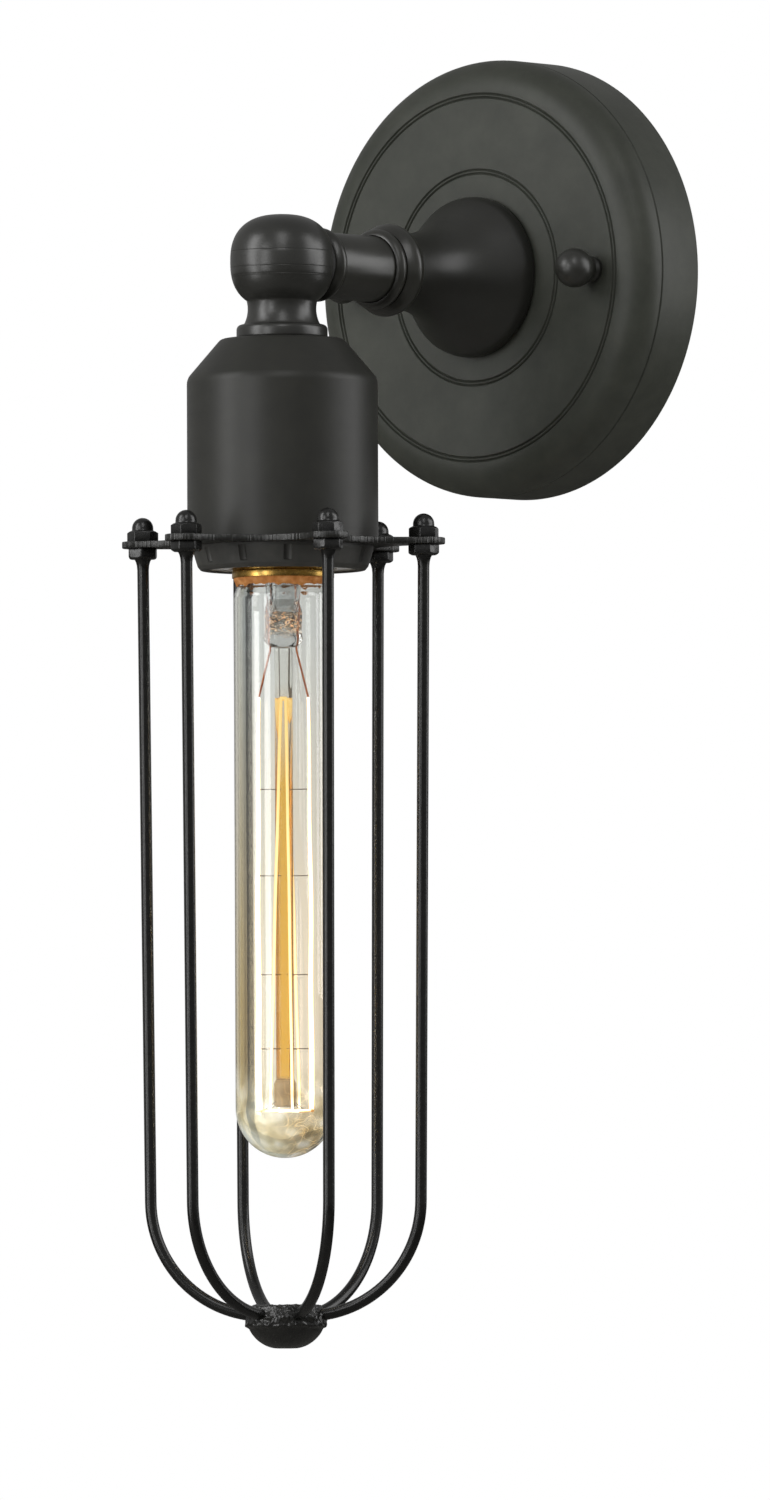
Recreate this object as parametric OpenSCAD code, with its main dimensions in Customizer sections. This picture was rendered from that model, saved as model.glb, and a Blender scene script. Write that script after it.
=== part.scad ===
// Wall sconce: a domed backplate carries a short turned arm. A swivel ball at the arm's end carries
// a socket cup, a six-wire cage and a tubular filament bulb.
// Millimetres. +Z is up, the wall is the plane y = 0, and the sconce reaches out along -Y.
// The origin is on the wall, at the middle of the backplate.

/* [Backplate] */
// Diameter of the backplate
plate_d = 114.3; // [108:0.1:124]
// How far the backplate's face stands off the wall
plate_depth = 22.5; // [21:0.1:26]
// Height of the backplate's straight side
plate_side = 14.5; // [12:0.1:16]
// Wall thickness of the backplate
plate_wall = 1.4; // [1.1:0.1:1.8]
// Diameter of the outer engraved ring
outer_ring_d = 95; // [90:0.1:98]
// Diameter of the inner engraved ring
inner_ring_d = 55.3; // [50:0.1:62]
// Width of an engraved ring
ring_groove_w = 1.6; // [1:0.1:2]
// Depth of an engraved ring
ring_groove_deep = 0.5; // [0.3:0.05:0.6]

/* [Mounting strap] */
// Thickness of the mounting strap
strap_t = 1.6; // [1.2:0.1:2]
// Width of the strap's arms
strap_w = 20; // [18:0.5:24]
// Distance between the middles of the two box screw slots
slot_span = 79.4; // [76:0.1:82]
// Length of a box screw slot, end to end
slot_l = 14; // [10:0.5:15]
// Width of a box screw slot
slot_w = 4.8; // [4.3:0.1:5.4]
// Metal left between a box screw slot and the strap's round end
slot_end = 2.3; // [1.5:0.1:3.5]
// Diameter of the wire hole in the middle of the strap
strap_hole_d = 13; // [10:0.5:14]
// Distance of the earthing screw below the middle
earth_screw_drop = 20; // [18:0.5:24]
// Diameter of the earthing screw
earth_screw_d = 4; // [3.5:0.1:4.5]
// Diameter of the earthing screw's head
earth_head_d = 8; // [7:0.1:9]
// Height of the earthing screw's head
earth_head_h = 2.6; // [2:0.1:3]

/* [Studs and ball nuts] */
// Distance between the two studs
stud_span = 80.2; // [76:0.1:84]
// Diameter of a stud
stud_d = 4.2; // [3.5:0.1:4.8]
// Width across the flats of a stud's lock nut
lock_nut_af = 8.7; // [8:0.1:10]
// Height of a stud's lock nut
lock_nut_h = 3.2; // [2.5:0.1:4]
// Diameter of a ball nut
ball_nut_d = 10.2; // [9:0.1:12]
// Diameter of a ball nut's foot
ball_foot_d = 6.8; // [6.4:0.1:8]
// Height of the ball nut's middle above the backplate
ball_nut_lift = 7.1; // [6.4:0.1:8]

/* [Arm] */
// Distance from the wall to the upright axis of the head
reach = 98.1; // [94:0.1:110]
// Diameter of the bell at its rim
bell_d = 41.9; // [36:0.1:46]
// Diameter of the bell's neck
bell_neck_d = 19.6; // [18:0.1:22]
// Length of the bell
bell_l = 31.8; // [26:0.1:33]
// Wall thickness of the bell
bell_wall = 2.4; // [1.8:0.1:3]
// Diameter of the collar's large bead
collar_d = 24; // [22:0.1:28]
// Diameter of the collar's small bead
small_bead_d = 20.8; // [20:0.1:22]
// Length of the collar
collar_l = 9.3; // [8:0.1:11]
// Depth to which the tube is let into the collar
tube_seat = 4; // [3:0.1:5]
// Diameter of the arm tube
tube_d = 17.1; // [16.4:0.1:18.4]
// Bore of the arm tube
tube_bore = 13.2; // [12.8:0.1:14]
// Diameter of the flange at the end of the tube
flange_d = 19.1; // [18.6:0.1:22]
// Thickness of the flange
flange_t = 3.9; // [3:0.1:5]
// Diameter of the friction washer
friction_d = 16.4; // [14:0.1:17]
// Thickness of the friction washer
friction_t = 2.1; // [1.5:0.1:2.5]

/* [Threaded nipples] */
// Outside diameter of the threaded nipples
nipple_d = 9.6; // [9:0.1:10]
// Bore of the threaded nipples
nipple_bore = 6.4; // [5.5:0.1:7]
// Width across the flats of a nipple's lock nut
nipple_nut_af = 14; // [13:0.1:16]
// Height of a nipple's lock nut
nipple_nut_h = 3; // [2.5:0.1:4]
// Diameter of the washer behind the backplate
nipple_washer_d = 19; // [17:0.5:22]
// Thickness of the washer behind the backplate
nipple_washer_t = 1; // [0.8:0.1:1.6]
// Diameter of the round lock nut inside the arm tube
round_nut_d = 12.4; // [11.4:0.1:12.4]
// Height of the round lock nut
round_nut_h = 3; // [2:0.1:4]
// Thickness of the spring washer inside the arm tube
spring_washer_t = 0.8; // [0.5:0.1:1.2]

/* [Swivel ball] */
// Width of the ball
ball_w = 26.5; // [25:0.1:29]
// Height of the ball
ball_h = 24.4; // [23:0.1:27]
// Distance from the ball's middle to its flat face
ball_flat = 9.7; // [9.2:0.1:10.4]
// Diameter of the neck under the ball
neck_d = 17.6; // [15:0.1:18.4]
// Diameter of the bead under the neck
bead_d = 23.4; // [21:0.1:26]
// Height of the bead
bead_h = 3.7; // [3:0.1:5]
// Distance from the arm's axis down to the top of the cup
cup_drop = 19.8; // [18.6:0.1:22]

/* [Socket cup] */
// Diameter of the cup
cup_d = 49; // [48.6:0.1:54]
// Diameter of the cup's flat top
cup_top_d = 31.4; // [27:0.1:34]
// Height of the cup's sloping shoulder
cup_shoulder = 10.3; // [8:0.1:12]
// Height of the whole cup
cup_h = 51.6; // [48:0.1:56]
// Wall thickness of the cup
cup_wall = 1.3; // [1:0.1:1.6]

/* [Lampholder] */
// Diameter of the threaded skirt
skirt_d = 38.6; // [37.5:0.1:39.6]
// Diameter of the flange that rests on the spider
holder_flange_d = 45; // [42:0.1:45.4]
// Thickness of that flange
holder_flange_t = 3; // [2:0.1:4]
// Diameter of the lampholder's upper part
holder_d = 35; // [32:0.1:37]
// Height of the lampholder above the spider
holder_h = 29.4; // [27:0.1:31]
// Height of the lampholder's cap
cap_h = 11; // [8:0.1:12]
// Wall thickness of the lampholder's cap
cap_wall = 2.4; // [2:0.1:3]
// Thickness of the screw shell
shell_t = 0.4; // [0.3:0.05:0.6]
// Diameter of a terminal screw's head
terminal_d = 6; // [5:0.1:7]
// Height of a terminal screw's head
terminal_h = 2.2; // [1.5:0.1:3]

/* [Retaining ring] */
// Diameter of the ring under the spider
ring_d = 46.4; // [43:0.1:48]
// Diameter of the ring at its lower edge
ring_low_d = 41.2; // [40.6:0.1:43]
// Height of the ring
ring_h = 6.2; // [5:0.1:8]
// Number of finger ribs round the ring
ring_ribs = 12; // [8:1:16]

/* [Cage] */
// Diameter of the circle on which the wires hang
cage_d = 73.6; // [70:0.1:80]
// Diameter of a wire
wire_d = 3; // [2.5:0.1:3.6]
// Inward lean of the wires, in degrees
wire_lean = 0.5; // [0:0.05:0.6]
// Radius of the bend at the foot of a wire
bend_r = 29.5; // [27:0.1:30]
// Thickness of the spider
spider_t = 1.7; // [1.4:0.1:2.4]
// Radius of a spider ear's round end
ear_r = 5.5; // [4.6:0.1:6]
// Diameter of a scallop between two ears
scallop_d = 34; // [30:0.1:35]
// Distance of the scallops' middles from the axis
scallop_at = 43.3; // [43:0.1:46]
// Width across the flats of the cage nuts
cage_nut_af = 7; // [6:0.1:8]
// Height of a cage nut
cage_nut_h = 2.8; // [2.2:0.1:3.4]
// Diameter of a cap nut's dome
dome_d = 5.5; // [5:0.1:5.9]
// Height of a cap nut's dome
dome_h = 3.4; // [2.8:0.1:4]
// Diameter of the hub
hub_d = 21.2; // [20:0.1:24]
// Height of the hub, from its domed top to its foot
hub_h = 11.6; // [10:0.1:14]
// Distance from the spider's top down to the middle of the wires where they enter the hub
cage_l = 199; // [190:0.5:220]

/* [Bulb] */
// Diameter of the glass tube
glass_d = 25.4; // [24.2:0.1:25.8]
// Wall thickness of the glass
glass_t = 0.8; // [0.6:0.1:1.1]
// Diameter of the bulb's screw base
base_d = 26.2; // [25.9:0.1:26.4]
// How far the screw base shows below the retaining ring
base_out = 2; // [1:0.1:3]
// Length of the screw base
base_l = 22.8; // [21:0.1:24]
// Length of the glass below the screw base
glass_l = 148.5; // [140:0.5:151]
// Distance from the screw base down to the press of the glass stem
press_drop = 9; // [7:0.1:11]
// Height of the press
press_l = 9; // [7:0.1:11]
// Distance from the press down to the filament's upper loops
strand_drop = 12.5; // [10:0.5:16]
// Height of the button at the foot of the glass rod
button_h = 7; // [5:0.1:8]
// Distance from the button to the end of the glass
button_gap = 13; // [9:0.5:16]
// Diameter of the centre glass rod
rod_d = 4.6; // [3.6:0.1:5]
// Diameter of the circle on which the filament's strands hang
strand_circle_d = 14.6; // [13:0.1:16]
// Diameter of the filament
filament_d = 0.5; // [0.4:0.05:0.7]

/* [Fits] */
// Clearance all round a thread, a pressed seat or a running bore
fit_gap = 0.05; // [0.02:0.01:0.08]
// Clearance all round a hole that a screw or nipple only passes through
pass_gap = 0.25; // [0.15:0.05:0.35]

/* [Hidden] */
$fn = 48;

// Finishes
oiled_black = [0.16, 0.16, 0.15];
satin_black = [0.10, 0.10, 0.10];
zinc_grey = [0.62, 0.63, 0.64];
brass_yellow = [0.80, 0.62, 0.28];
fibre_black = [0.05, 0.05, 0.05];
cream_glaze = [0.90, 0.88, 0.82];
amber_glass = [0.90, 0.80, 0.58, 0.45];

// Steps in a rounded corner and in a long curve
corner_steps = 5;
curve_steps = 14;
// A little more than nothing, by which a cut runs past a face
over = 1;

// Stations along the arm, as distances from the wall
face_y = plate_depth;
bell_end = face_y + bell_l;
collar_end = bell_end + collar_l;
flange_front = reach - ball_flat - friction_t;
flange_back = flange_front - flange_t;
spigot_l = 3.5;
spigot_back = flange_back - spigot_l;
plate_inner = face_y - plate_wall;

// Levels of the head, measured up from the arm's axis
cup_top = -cup_drop;
cup_foot = cup_top - cup_h;
spider_top = cup_foot;
spider_foot = spider_top - spider_t;
ring_foot = spider_foot - ring_h;
skirt_foot = ring_foot + 0.4;
holder_top = spider_top + holder_h;
cap_top = holder_top + cap_h;
base_rim = ring_foot - base_out;
base_top = base_rim + base_l;

// Radii shared by pieces that fit together
nipple_r = nipple_d / 2;
thread_r = nipple_r + fit_gap;
passage_r = nipple_r + pass_gap;
stud_r = stud_d / 2;
socket_r = base_d / 2 + 0.35;
cage_r = cage_d / 2;

// The cage has six wires, and the filament eight strands
wires = 6;
strands = 8;

// Points on an arc
function arc_points(centre, r, from, to, steps) =
    [for (i = [0:steps]) let (a = from + (to - from) * i / steps) centre + r * [cos(a), sin(a)]];

// A unit vector
function unit(v) = v / norm(v);

// The arc that rounds corner b of the path a, b, c
function round_corner(a, b, c, r) =
    let (
        u = unit(a - b),
        v = unit(c - b),
        half = acos(u * v) / 2,
        centre = b + unit(u + v) * r / sin(half),
        start = b + u * r / tan(half) - centre,
        end = b + v * r / tan(half) - centre,
        from = atan2(start.y, start.x),
        turn = (atan2(end.y, end.x) - from + 540) % 360 - 180
    )
    arc_points(centre, r, from, from + turn, corner_steps);

// A path of [x, y, corner radius] points, with its corners rounded
function rounded(path) = [
    for (i = [0:len(path) - 1])
    let (p = path[i], flat = [p.x, p.y])
    each p[2] > 0
        ? round_corner([path[i - 1].x, path[i - 1].y], flat, [path[i + 1].x, path[i + 1].y], p[2])
        : [flat]
];

// Points on a cubic curve with four control points
function bezier(p, steps) = [
    for (i = [0:steps])
    let (t = i / steps, s = 1 - t)
    s * s * s * p[0] + 3 * s * s * t * p[1] + 3 * s * t * t * p[2] + t * t * t * p[3]
];

// Points on a bead that bulges from radius r to radius top between two stations
function bead_points(r, top, from, to, steps) =
    [for (i = [0:steps]) [r + (top - r) * sin(180 * i / steps), from + (to - from) * i / steps]];

// Turns a closed outline of [radius, height] points about the upright axis
module turned(outline) rotate_extrude($fn = 64) polygon(outline);

// Lays a piece with its axis square to the wall, heights measured out from the wall
module from_wall() rotate([90, 0, 0]) children();

// Puts a piece on the head's upright axis, heights measured from the arm's axis
module on_head() translate([0, -reach, 0]) children();

// Repeats a piece at every wire of the cage
module at_wires() {
    for (i = [0:wires - 1])
        rotate(wire_angle(i)) children();
}
function wire_angle(i) = 30 + 360 / wires * i;

// A straight round bar between two points
module bar(a, b, d) {
    v = b - a;
    translate(a)
        rotate([0, acos(v.z / norm(v)), atan2(v.y, v.x)])
            cylinder(h = norm(v), d = d, $fn = 16);
}

// A tube or washer
module tube_ring(r_out, r_in, from, to) {
    translate([0, 0, from])
        difference() {
            cylinder(h = to - from, r = r_out);
            translate([0, 0, -over]) cylinder(h = to - from + 2 * over, r = r_in);
        }
}

// A hexagon nut without its chamfers
module hex_nut(af, h, bore_r) {
    difference() {
        cylinder(h = h, r = af / 2 / cos(30), $fn = 6);
        translate([0, 0, -over]) cylinder(h = h + 2 * over, r = bore_r, $fn = 32);
    }
}

// Backplate: a pressed dome with a straight side, a crease, a rounded shoulder and two engraved rings
function ring_groove(d) = [
    [d / 2 + ring_groove_w / 2, face_y],
    [d / 2 + ring_groove_w / 4, face_y - ring_groove_deep],
    [d / 2 - ring_groove_w / 4, face_y - ring_groove_deep],
    [d / 2 - ring_groove_w / 2, face_y]
];

// A quarter of an ellipse from the straight side to the face
function shoulder(side_r, from, face_r, to) = [
    for (i = [0:8])
    let (a = 90 * i / 8)
    [face_r + (side_r - face_r) * cos(a), from + (to - from) * sin(a)]
];
crease_w = 0.5;
crease_deep = 0.3;
shoulder_in = outer_ring_d / 2 + ring_groove_w / 2 + 0.1;

module backplate() {
    r = plate_d / 2;
    outside = concat(
        [[r, 0], [r, plate_side - crease_w / 2], [r - crease_deep, plate_side]],
        shoulder(r, plate_side + crease_w / 2, shoulder_in, face_y),
        ring_groove(outer_ring_d),
        ring_groove(inner_ring_d),
        [[passage_r, face_y], [passage_r, plate_inner]]
    );
    inside = shoulder(r - plate_wall, plate_side, shoulder_in, plate_inner);
    color(oiled_black)
        from_wall()
            difference() {
                turned(concat(
                    outside,
                    [for (i = [len(inside) - 1:-1:0]) inside[i]],
                    [[r - plate_wall, 0]]
                ));
                at_studs()
                    translate([0, 0, plate_inner - over])
                        cylinder(h = plate_wall + 2 * over, r = stud_r + pass_gap);
            }
}

// Places a piece at both studs, in the backplate's own frame
module at_studs() {
    for (side = [-1, 1])
        translate([side * stud_span / 2, 0, 0]) children();
}

// Mounting strap: a cross cut from plate, which the outlet box screws hold to the wall
strap_r = (slot_span + slot_l) / 2 + slot_end;
module mounting_strap() {
    arm_l = 2 * strap_r + 2 * over;
    color(zinc_grey)
        from_wall()
            difference() {
                intersection() {
                    union() {
                        translate([-arm_l / 2, -strap_w / 2, 0]) cube([arm_l, strap_w, strap_t]);
                        translate([-strap_w / 2, -arm_l / 2, 0]) cube([strap_w, arm_l, strap_t]);
                    }
                    translate([0, 0, -over]) cylinder(h = strap_t + 2 * over, r = strap_r);
                }
                translate([0, 0, -over]) cylinder(h = strap_t + 2 * over, d = strap_hole_d);
                for (side = [-1, 1])
                    translate([0, side * slot_span / 2, -over]) box_slot();
                at_studs()
                    translate([0, 0, -over]) cylinder(h = strap_t + 2 * over, r = stud_r + fit_gap);
                translate([0, -earth_screw_drop, -over])
                    cylinder(h = strap_t + 2 * over, r = earth_screw_d / 2 + fit_gap);
            }
}

// The cut for one box screw, along the strap's upright arm
module box_slot() {
    h = strap_t + 2 * over;
    straight = slot_l - slot_w;
    for (end = [-1, 1])
        translate([0, end * straight / 2, 0]) cylinder(h = h, d = slot_w);
    translate([-slot_w / 2, -straight / 2, 0]) cube([slot_w, straight, h]);
}

// Studs: headless, screwed into the strap until they are flush with its back
stud_end = face_y + ball_nut_lift + ball_nut_d / 2 - 3;
module mounting_studs() {
    color(zinc_grey)
        from_wall()
            at_studs() cylinder(h = stud_end, r = stud_r);
}

module stud_lock_nuts() {
    color(zinc_grey)
        from_wall()
            at_studs()
                translate([0, 0, strap_t]) hex_nut(lock_nut_af, lock_nut_h, stud_r + fit_gap);
}

// Ball nuts: a turned ball on a short foot, with a blind thread
module ball_nuts() {
    color(oiled_black)
        from_wall()
            at_studs()
                translate([0, 0, face_y])
                    difference() {
                        union() {
                            translate([0, 0, ball_nut_lift]) sphere(d = ball_nut_d);
                            cylinder(h = ball_nut_lift - ball_nut_d / 4, d = ball_foot_d);
                        }
                        translate([0, 0, -over])
                            cylinder(h = stud_end - face_y + over + 0.3, r = stud_r + fit_gap);
                    }
}

// Earthing screw: a slotted round head against the strap
module earthing_screw() {
    slot = 1.1;
    color(brass_yellow)
        from_wall()
            translate([0, -earth_screw_drop, 0])
                difference() {
                    union() {
                        cylinder(h = strap_t, d = earth_screw_d);
                        translate([0, 0, strap_t]) cylinder(h = earth_head_h, d = earth_head_d);
                    }
                    translate([-earth_head_d, -slot / 2, strap_t + earth_head_h / 2])
                        cube([2 * earth_head_d, slot, earth_head_h]);
                }
}

// Arm nipple: clamps the bell and the collar to the backplate
nipple_back = plate_inner - nipple_washer_t - nipple_nut_h - 2;
module arm_nipple() {
    color(zinc_grey)
        from_wall()
            tube_ring(nipple_r, nipple_bore / 2, nipple_back, collar_end - tube_seat - 0.5);
}

module nipple_washer() {
    color(zinc_grey)
        from_wall()
            tube_ring(nipple_washer_d / 2, passage_r, plate_inner - nipple_washer_t, plate_inner);
}

module nipple_lock_nut() {
    color(zinc_grey)
        from_wall()
            translate([0, 0, plate_inner - nipple_washer_t - nipple_nut_h])
                hex_nut(nipple_nut_af, nipple_nut_h, thread_r);
}

// Bell: a thin trumpet with a rolled rim, open towards the backplate
rim_h = 4;
function bell_curve(inset) = bezier([
    [bell_d / 2 - 0.45 - inset, face_y + rim_h],
    [bell_d / 2 - 4.45 - inset, face_y + rim_h + 0.235 * (bell_l - rim_h)],
    [bell_neck_d / 2 - inset, face_y + rim_h + 0.45 * (bell_l - rim_h)],
    [bell_neck_d / 2 - inset, bell_end]
], curve_steps);

module arm_bell() {
    r = bell_d / 2;
    cavity_end = face_y + rim_h + 0.62 * (bell_l - rim_h);
    cavity = [for (p = bell_curve(bell_wall)) if (p.y < cavity_end - 0.5) p];
    last = cavity[len(cavity) - 1];
    color(oiled_black)
        from_wall()
            turned(concat(
                [[r - 1.3, face_y]],
                arc_points([r - 1.4, face_y + 1.4], 1.4, -70, 0, corner_steps),
                bell_curve(0),
                [[passage_r, bell_end], [passage_r, cavity_end], [last.x, cavity_end]],
                [for (i = [len(cavity) - 1:-1:0]) cavity[i]],
                [[cavity[0].x, face_y]]
            ));
}

// Collar: a large and a small bead, with a counterbore for the tube
module arm_collar() {
    split = bell_end + 0.66 * collar_l;
    seat = collar_end - tube_seat;
    tube_r = tube_d / 2 + fit_gap;
    color(oiled_black)
        from_wall()
            turned(concat(
                bead_points(bell_neck_d / 2 + 0.2, collar_d / 2, bell_end, split, 12),
                bead_points((tube_r + small_bead_d / 2) / 2, small_bead_d / 2, split, collar_end, 8),
                [[tube_r, collar_end], [tube_r, seat], [thread_r, seat], [thread_r, bell_end]]
            ));
}

module arm_tube() {
    color(oiled_black)
        from_wall()
            tube_ring(tube_d / 2, tube_bore / 2, collar_end - tube_seat, flange_back);
}

// Flange: closes the tube with a bead outside, a spigot inside and the swivel's bearing bore
module arm_flange() {
    spigot_r = tube_bore / 2 - fit_gap;
    color(oiled_black)
        from_wall()
            turned(concat(
                [[thread_r, spigot_back], [spigot_r, spigot_back], [spigot_r, flange_back]],
                bead_points(tube_d / 2, flange_d / 2, flange_back, flange_front, 8),
                [[thread_r, flange_front]]
            ));
}

// Friction washer: dark fibre between the flange and the ball
module friction_washer() {
    color(fibre_black)
        from_wall()
            tube_ring(friction_d / 2, passage_r, flange_front, flange_front + friction_t);
}

// Swivel nipple: screwed into the ball, and turning in the flange's bore
nut_front = spigot_back - spring_washer_t;
nipple_in_ball = 4.4;
module swivel_nipple() {
    color(zinc_grey)
        from_wall()
            tube_ring(nipple_r, nipple_bore / 2, nut_front - round_nut_h - 0.6, reach - nipple_in_ball);
}

module spring_washer() {
    color(zinc_grey)
        from_wall()
            tube_ring(round_nut_d / 2, passage_r, nut_front, spigot_back);
}

// Round lock nut: two notches take a peg key from inside the tube
module round_lock_nut() {
    notch = 2;
    color(zinc_grey)
        from_wall()
            translate([0, 0, nut_front - round_nut_h])
                difference() {
                    cylinder(h = round_nut_h, d = round_nut_d);
                    translate([0, 0, -over]) cylinder(h = round_nut_h + 2 * over, r = thread_r);
                    for (side = [0, 180])
                        rotate(side)
                            translate([thread_r + 0.7, -notch / 2, -over]) cube([notch, notch, notch]);
                }
}

// Swivel ball: a flattened ball, a waisted neck and a bead, turned in one piece
ball_power = 0.8;
function ball_point(a) = [
    ball_w / 2 * pow(cos(a), ball_power),
    ball_h / 2 * sign(sin(a)) * pow(abs(sin(a)), ball_power)
];

module swivel_ball() {
    bead_top = cup_top + bead_h;
    ball_end = -51;
    steps = 20;
    neck_start = ball_point(ball_end);
    neck_r = neck_d / 2;
    bead_r = bead_d / 2;
    color(oiled_black)
        on_head()
            difference() {
                turned(concat(
                    [[0, ball_h / 2]],
                    [for (i = [1:steps]) ball_point(90 + (ball_end - 90) * i / steps)],
                    bezier([
                        [neck_start.x - 0.1, neck_start.y - 0.15],
                        [neck_r - 0.15, neck_start.y - 1.8],
                        [neck_r - 0.15, bead_top + 2.2],
                        [neck_r + 1, bead_top]
                    ], 8),
                    rounded([
                        [bead_r - 1.9, bead_top, 0],
                        [bead_r, bead_top - 0.3, 1.3],
                        [bead_r, cup_top + 0.3, 0.8],
                        [bead_r - 0.4, cup_top, 0]
                    ]),
                    [[0, cup_top]]
                ));
                translate([-ball_w, ball_flat, -ball_w]) cube([2 * ball_w, ball_w, 2 * ball_w]);
                translate([0, ball_flat + over, 0])
                    rotate([90, 0, 0]) cylinder(h = ball_flat + over - nipple_in_ball, r = thread_r);
                translate([0, ball_flat, 0])
                    rotate([90, 0, 0]) cylinder(h = ball_flat, d = nipple_bore);
                translate([0, 0, cup_top - over]) cylinder(h = over + cup_nipple_up, r = thread_r);
                translate([0, 0, cup_top]) cylinder(h = cup_drop, d = nipple_bore);
            }
}

// Cup nipple: joins the ball, the cup and the lampholder's cap
cup_nipple_up = 9;
module cup_nipple() {
    color(zinc_grey)
        on_head()
            tube_ring(nipple_r, nipple_bore / 2, cap_top - cap_wall, cup_top + cup_nipple_up);
}

module cup_lock_nut() {
    color(zinc_grey)
        on_head()
            translate([0, 0, cup_top - cup_wall - nipple_nut_h])
                hex_nut(nipple_nut_af, nipple_nut_h, thread_r);
}

// Socket cup: a spun cup with a sloping shoulder, open at its foot
function cup_profile(inset) = rounded([
    [passage_r, cup_top - inset, 0],
    [cup_top_d / 2 - inset * 0.41, cup_top - inset, 2],
    [cup_d / 2 - inset, cup_top - cup_shoulder - inset * 0.41, 3.5],
    [cup_d / 2 - inset, cup_foot, 0]
]);

module socket_cup() {
    inside = cup_profile(cup_wall);
    color(oiled_black)
        on_head()
            turned(concat(cup_profile(0), [for (i = [len(inside) - 1:-1:0]) inside[i]]));
}

// Lampholder cap: covers the terminals and screws onto the cup nipple
module lampholder_cap() {
    r = holder_d / 2;
    color(cream_glaze)
        on_head()
            turned(concat(
                rounded([
                    [thread_r, cap_top, 0],
                    [r - 3, cap_top, 1],
                    [r, cap_top - 4, 1.5],
                    [r, holder_top, 0]
                ]),
                [
                    [r - cap_wall, holder_top],
                    [r - cap_wall, cap_top - 4.2],
                    [r - cap_wall - 2.4, cap_top - cap_wall],
                    [thread_r, cap_top - cap_wall]
                ]
            ));
}

// Lampholder body: a glazed socket with a threaded skirt and a flange that rests on the spider
shell_r = socket_r + shell_t;
cavity_top = base_top + 4.2;
terminal_at = 11;
module lampholder_body() {
    color(cream_glaze)
        on_head()
            difference() {
                turned([
                    [shell_r + fit_gap, skirt_foot],
                    [skirt_d / 2, skirt_foot],
                    [skirt_d / 2, spider_top],
                    [holder_flange_d / 2, spider_top],
                    [holder_flange_d / 2, spider_top + holder_flange_t],
                    [holder_d / 2, spider_top + holder_flange_t],
                    [holder_d / 2, holder_top],
                    [0, holder_top],
                    [0, cavity_top],
                    [shell_r + fit_gap, cavity_top]
                ]);
                for (side = [-1, 1])
                    translate([side * terminal_at, 0, holder_top - 3])
                        cylinder(h = 3 + over, r = 1.5 + fit_gap);
                translate([0, -6, cavity_top - over])
                    cylinder(h = holder_top - cavity_top + 2 * over, r = 2);
            }
}

// Screw shell: the brass sleeve that takes the bulb's thread
shell_top = base_top + 1.5;
module screw_shell() {
    color(brass_yellow)
        on_head() tube_ring(shell_r, socket_r, skirt_foot + 1, shell_top);
}

// Centre contact: a bent brass leaf from the socket's floor down to the bulb's tip
leaf_t = 0.6;
tip_level = base_top + 0.6;
module centre_contact() {
    leaf_w = 6;
    root = 7;
    color(brass_yellow)
        on_head()
            translate([0, -leaf_w / 2, 0])
                rotate([90, 0, 0])
                    mirror([0, 0, 1])
                        linear_extrude(leaf_w)
                            polygon([
                                [-3, tip_level],
                                [2.6, tip_level],
                                [root - 1.6, cavity_top - leaf_t],
                                [root + 3, cavity_top - leaf_t],
                                [root + 3, cavity_top],
                                [root - 2, cavity_top],
                                [2.2, tip_level + leaf_t],
                                [-3, tip_level + leaf_t]
                            ]);
}

module terminal_screws() {
    color(brass_yellow)
        on_head()
            for (side = [-1, 1])
                translate([side * terminal_at, 0, holder_top])
                    difference() {
                        union() {
                            translate([0, 0, -2.8]) cylinder(h = 2.8, r = 1.5, $fn = 24);
                            cylinder(h = terminal_h, d = terminal_d);
                        }
                        translate([-terminal_d, -0.5, terminal_h / 2]) cube([2 * terminal_d, 1, terminal_h]);
                    }
}

// Retaining ring: moulded, tapered, with a finger rib cut all round at even steps
module retaining_ring() {
    r = ring_d / 2;
    low = ring_low_d / 2;
    rib_r = 0.9;
    bore_r = skirt_d / 2 + fit_gap;
    color(fibre_black)
        on_head()
            difference() {
                turned(concat(
                    [[bore_r, ring_foot], [bore_r, spider_foot]],
                    rounded([
                        [r, spider_foot, 0],
                        [r, spider_foot - 0.12 * ring_h, 0.3],
                        [r - 1.6, spider_foot - 0.35 * ring_h, 0.8],
                        [low + 0.5, ring_foot, 0.8],
                        [low - 0.9, ring_foot, 0]
                    ])
                ));
                for (i = [0:ring_ribs - 1])
                    rotate(360 / ring_ribs * (i + 0.5))
                        translate([r - 0.9, 0, ring_foot + 1.2])
                            rotate([0, -14, 0]) cylinder(h = ring_h - 1.8, r = rib_r, $fn = 16);
            }
}

// Spider: a flat star with six round ears, left by six scallops
module cage_spider() {
    h = spider_t + 2 * over;
    color(satin_black)
        on_head()
            difference() {
                translate([0, 0, spider_foot]) {
                    cylinder(h = spider_t, r = cage_r - 1);
                    at_wires() translate([cage_r, 0, 0]) cylinder(h = spider_t, r = ear_r);
                }
                translate([0, 0, spider_foot - over]) {
                    cylinder(h = h, r = skirt_d / 2 + pass_gap);
                    at_wires() translate([cage_r, 0, 0]) cylinder(h = h, r = wire_d / 2 + pass_gap);
                    at_wires() rotate(180 / wires) translate([scallop_at, 0, 0]) cylinder(h = h, d = scallop_d);
                }
            }
}

// One cage wire, hung in the x-z plane at the cage's radius and leaning in a little
wire_top = spider_top + cage_nut_h + 1.6;
leg_l = cage_l - bend_r;
bend_angle = 86;
module wire_bend(d) {
    translate([cage_r, 0, spider_top])
        rotate([0, wire_lean, 0])
            translate([-bend_r, 0, -leg_l])
                rotate([-90, 0, 0])
                    rotate_extrude(angle = bend_angle, $fn = 96)
                        translate([bend_r, 0]) circle(d = d, $fn = 24);
}

module wire_leg() {
    translate([cage_r, 0, spider_top])
        rotate([0, wire_lean, 0])
            translate([0, 0, -leg_l]) cylinder(h = leg_l + wire_top - spider_top, d = wire_d, $fn = 24);
}

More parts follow.
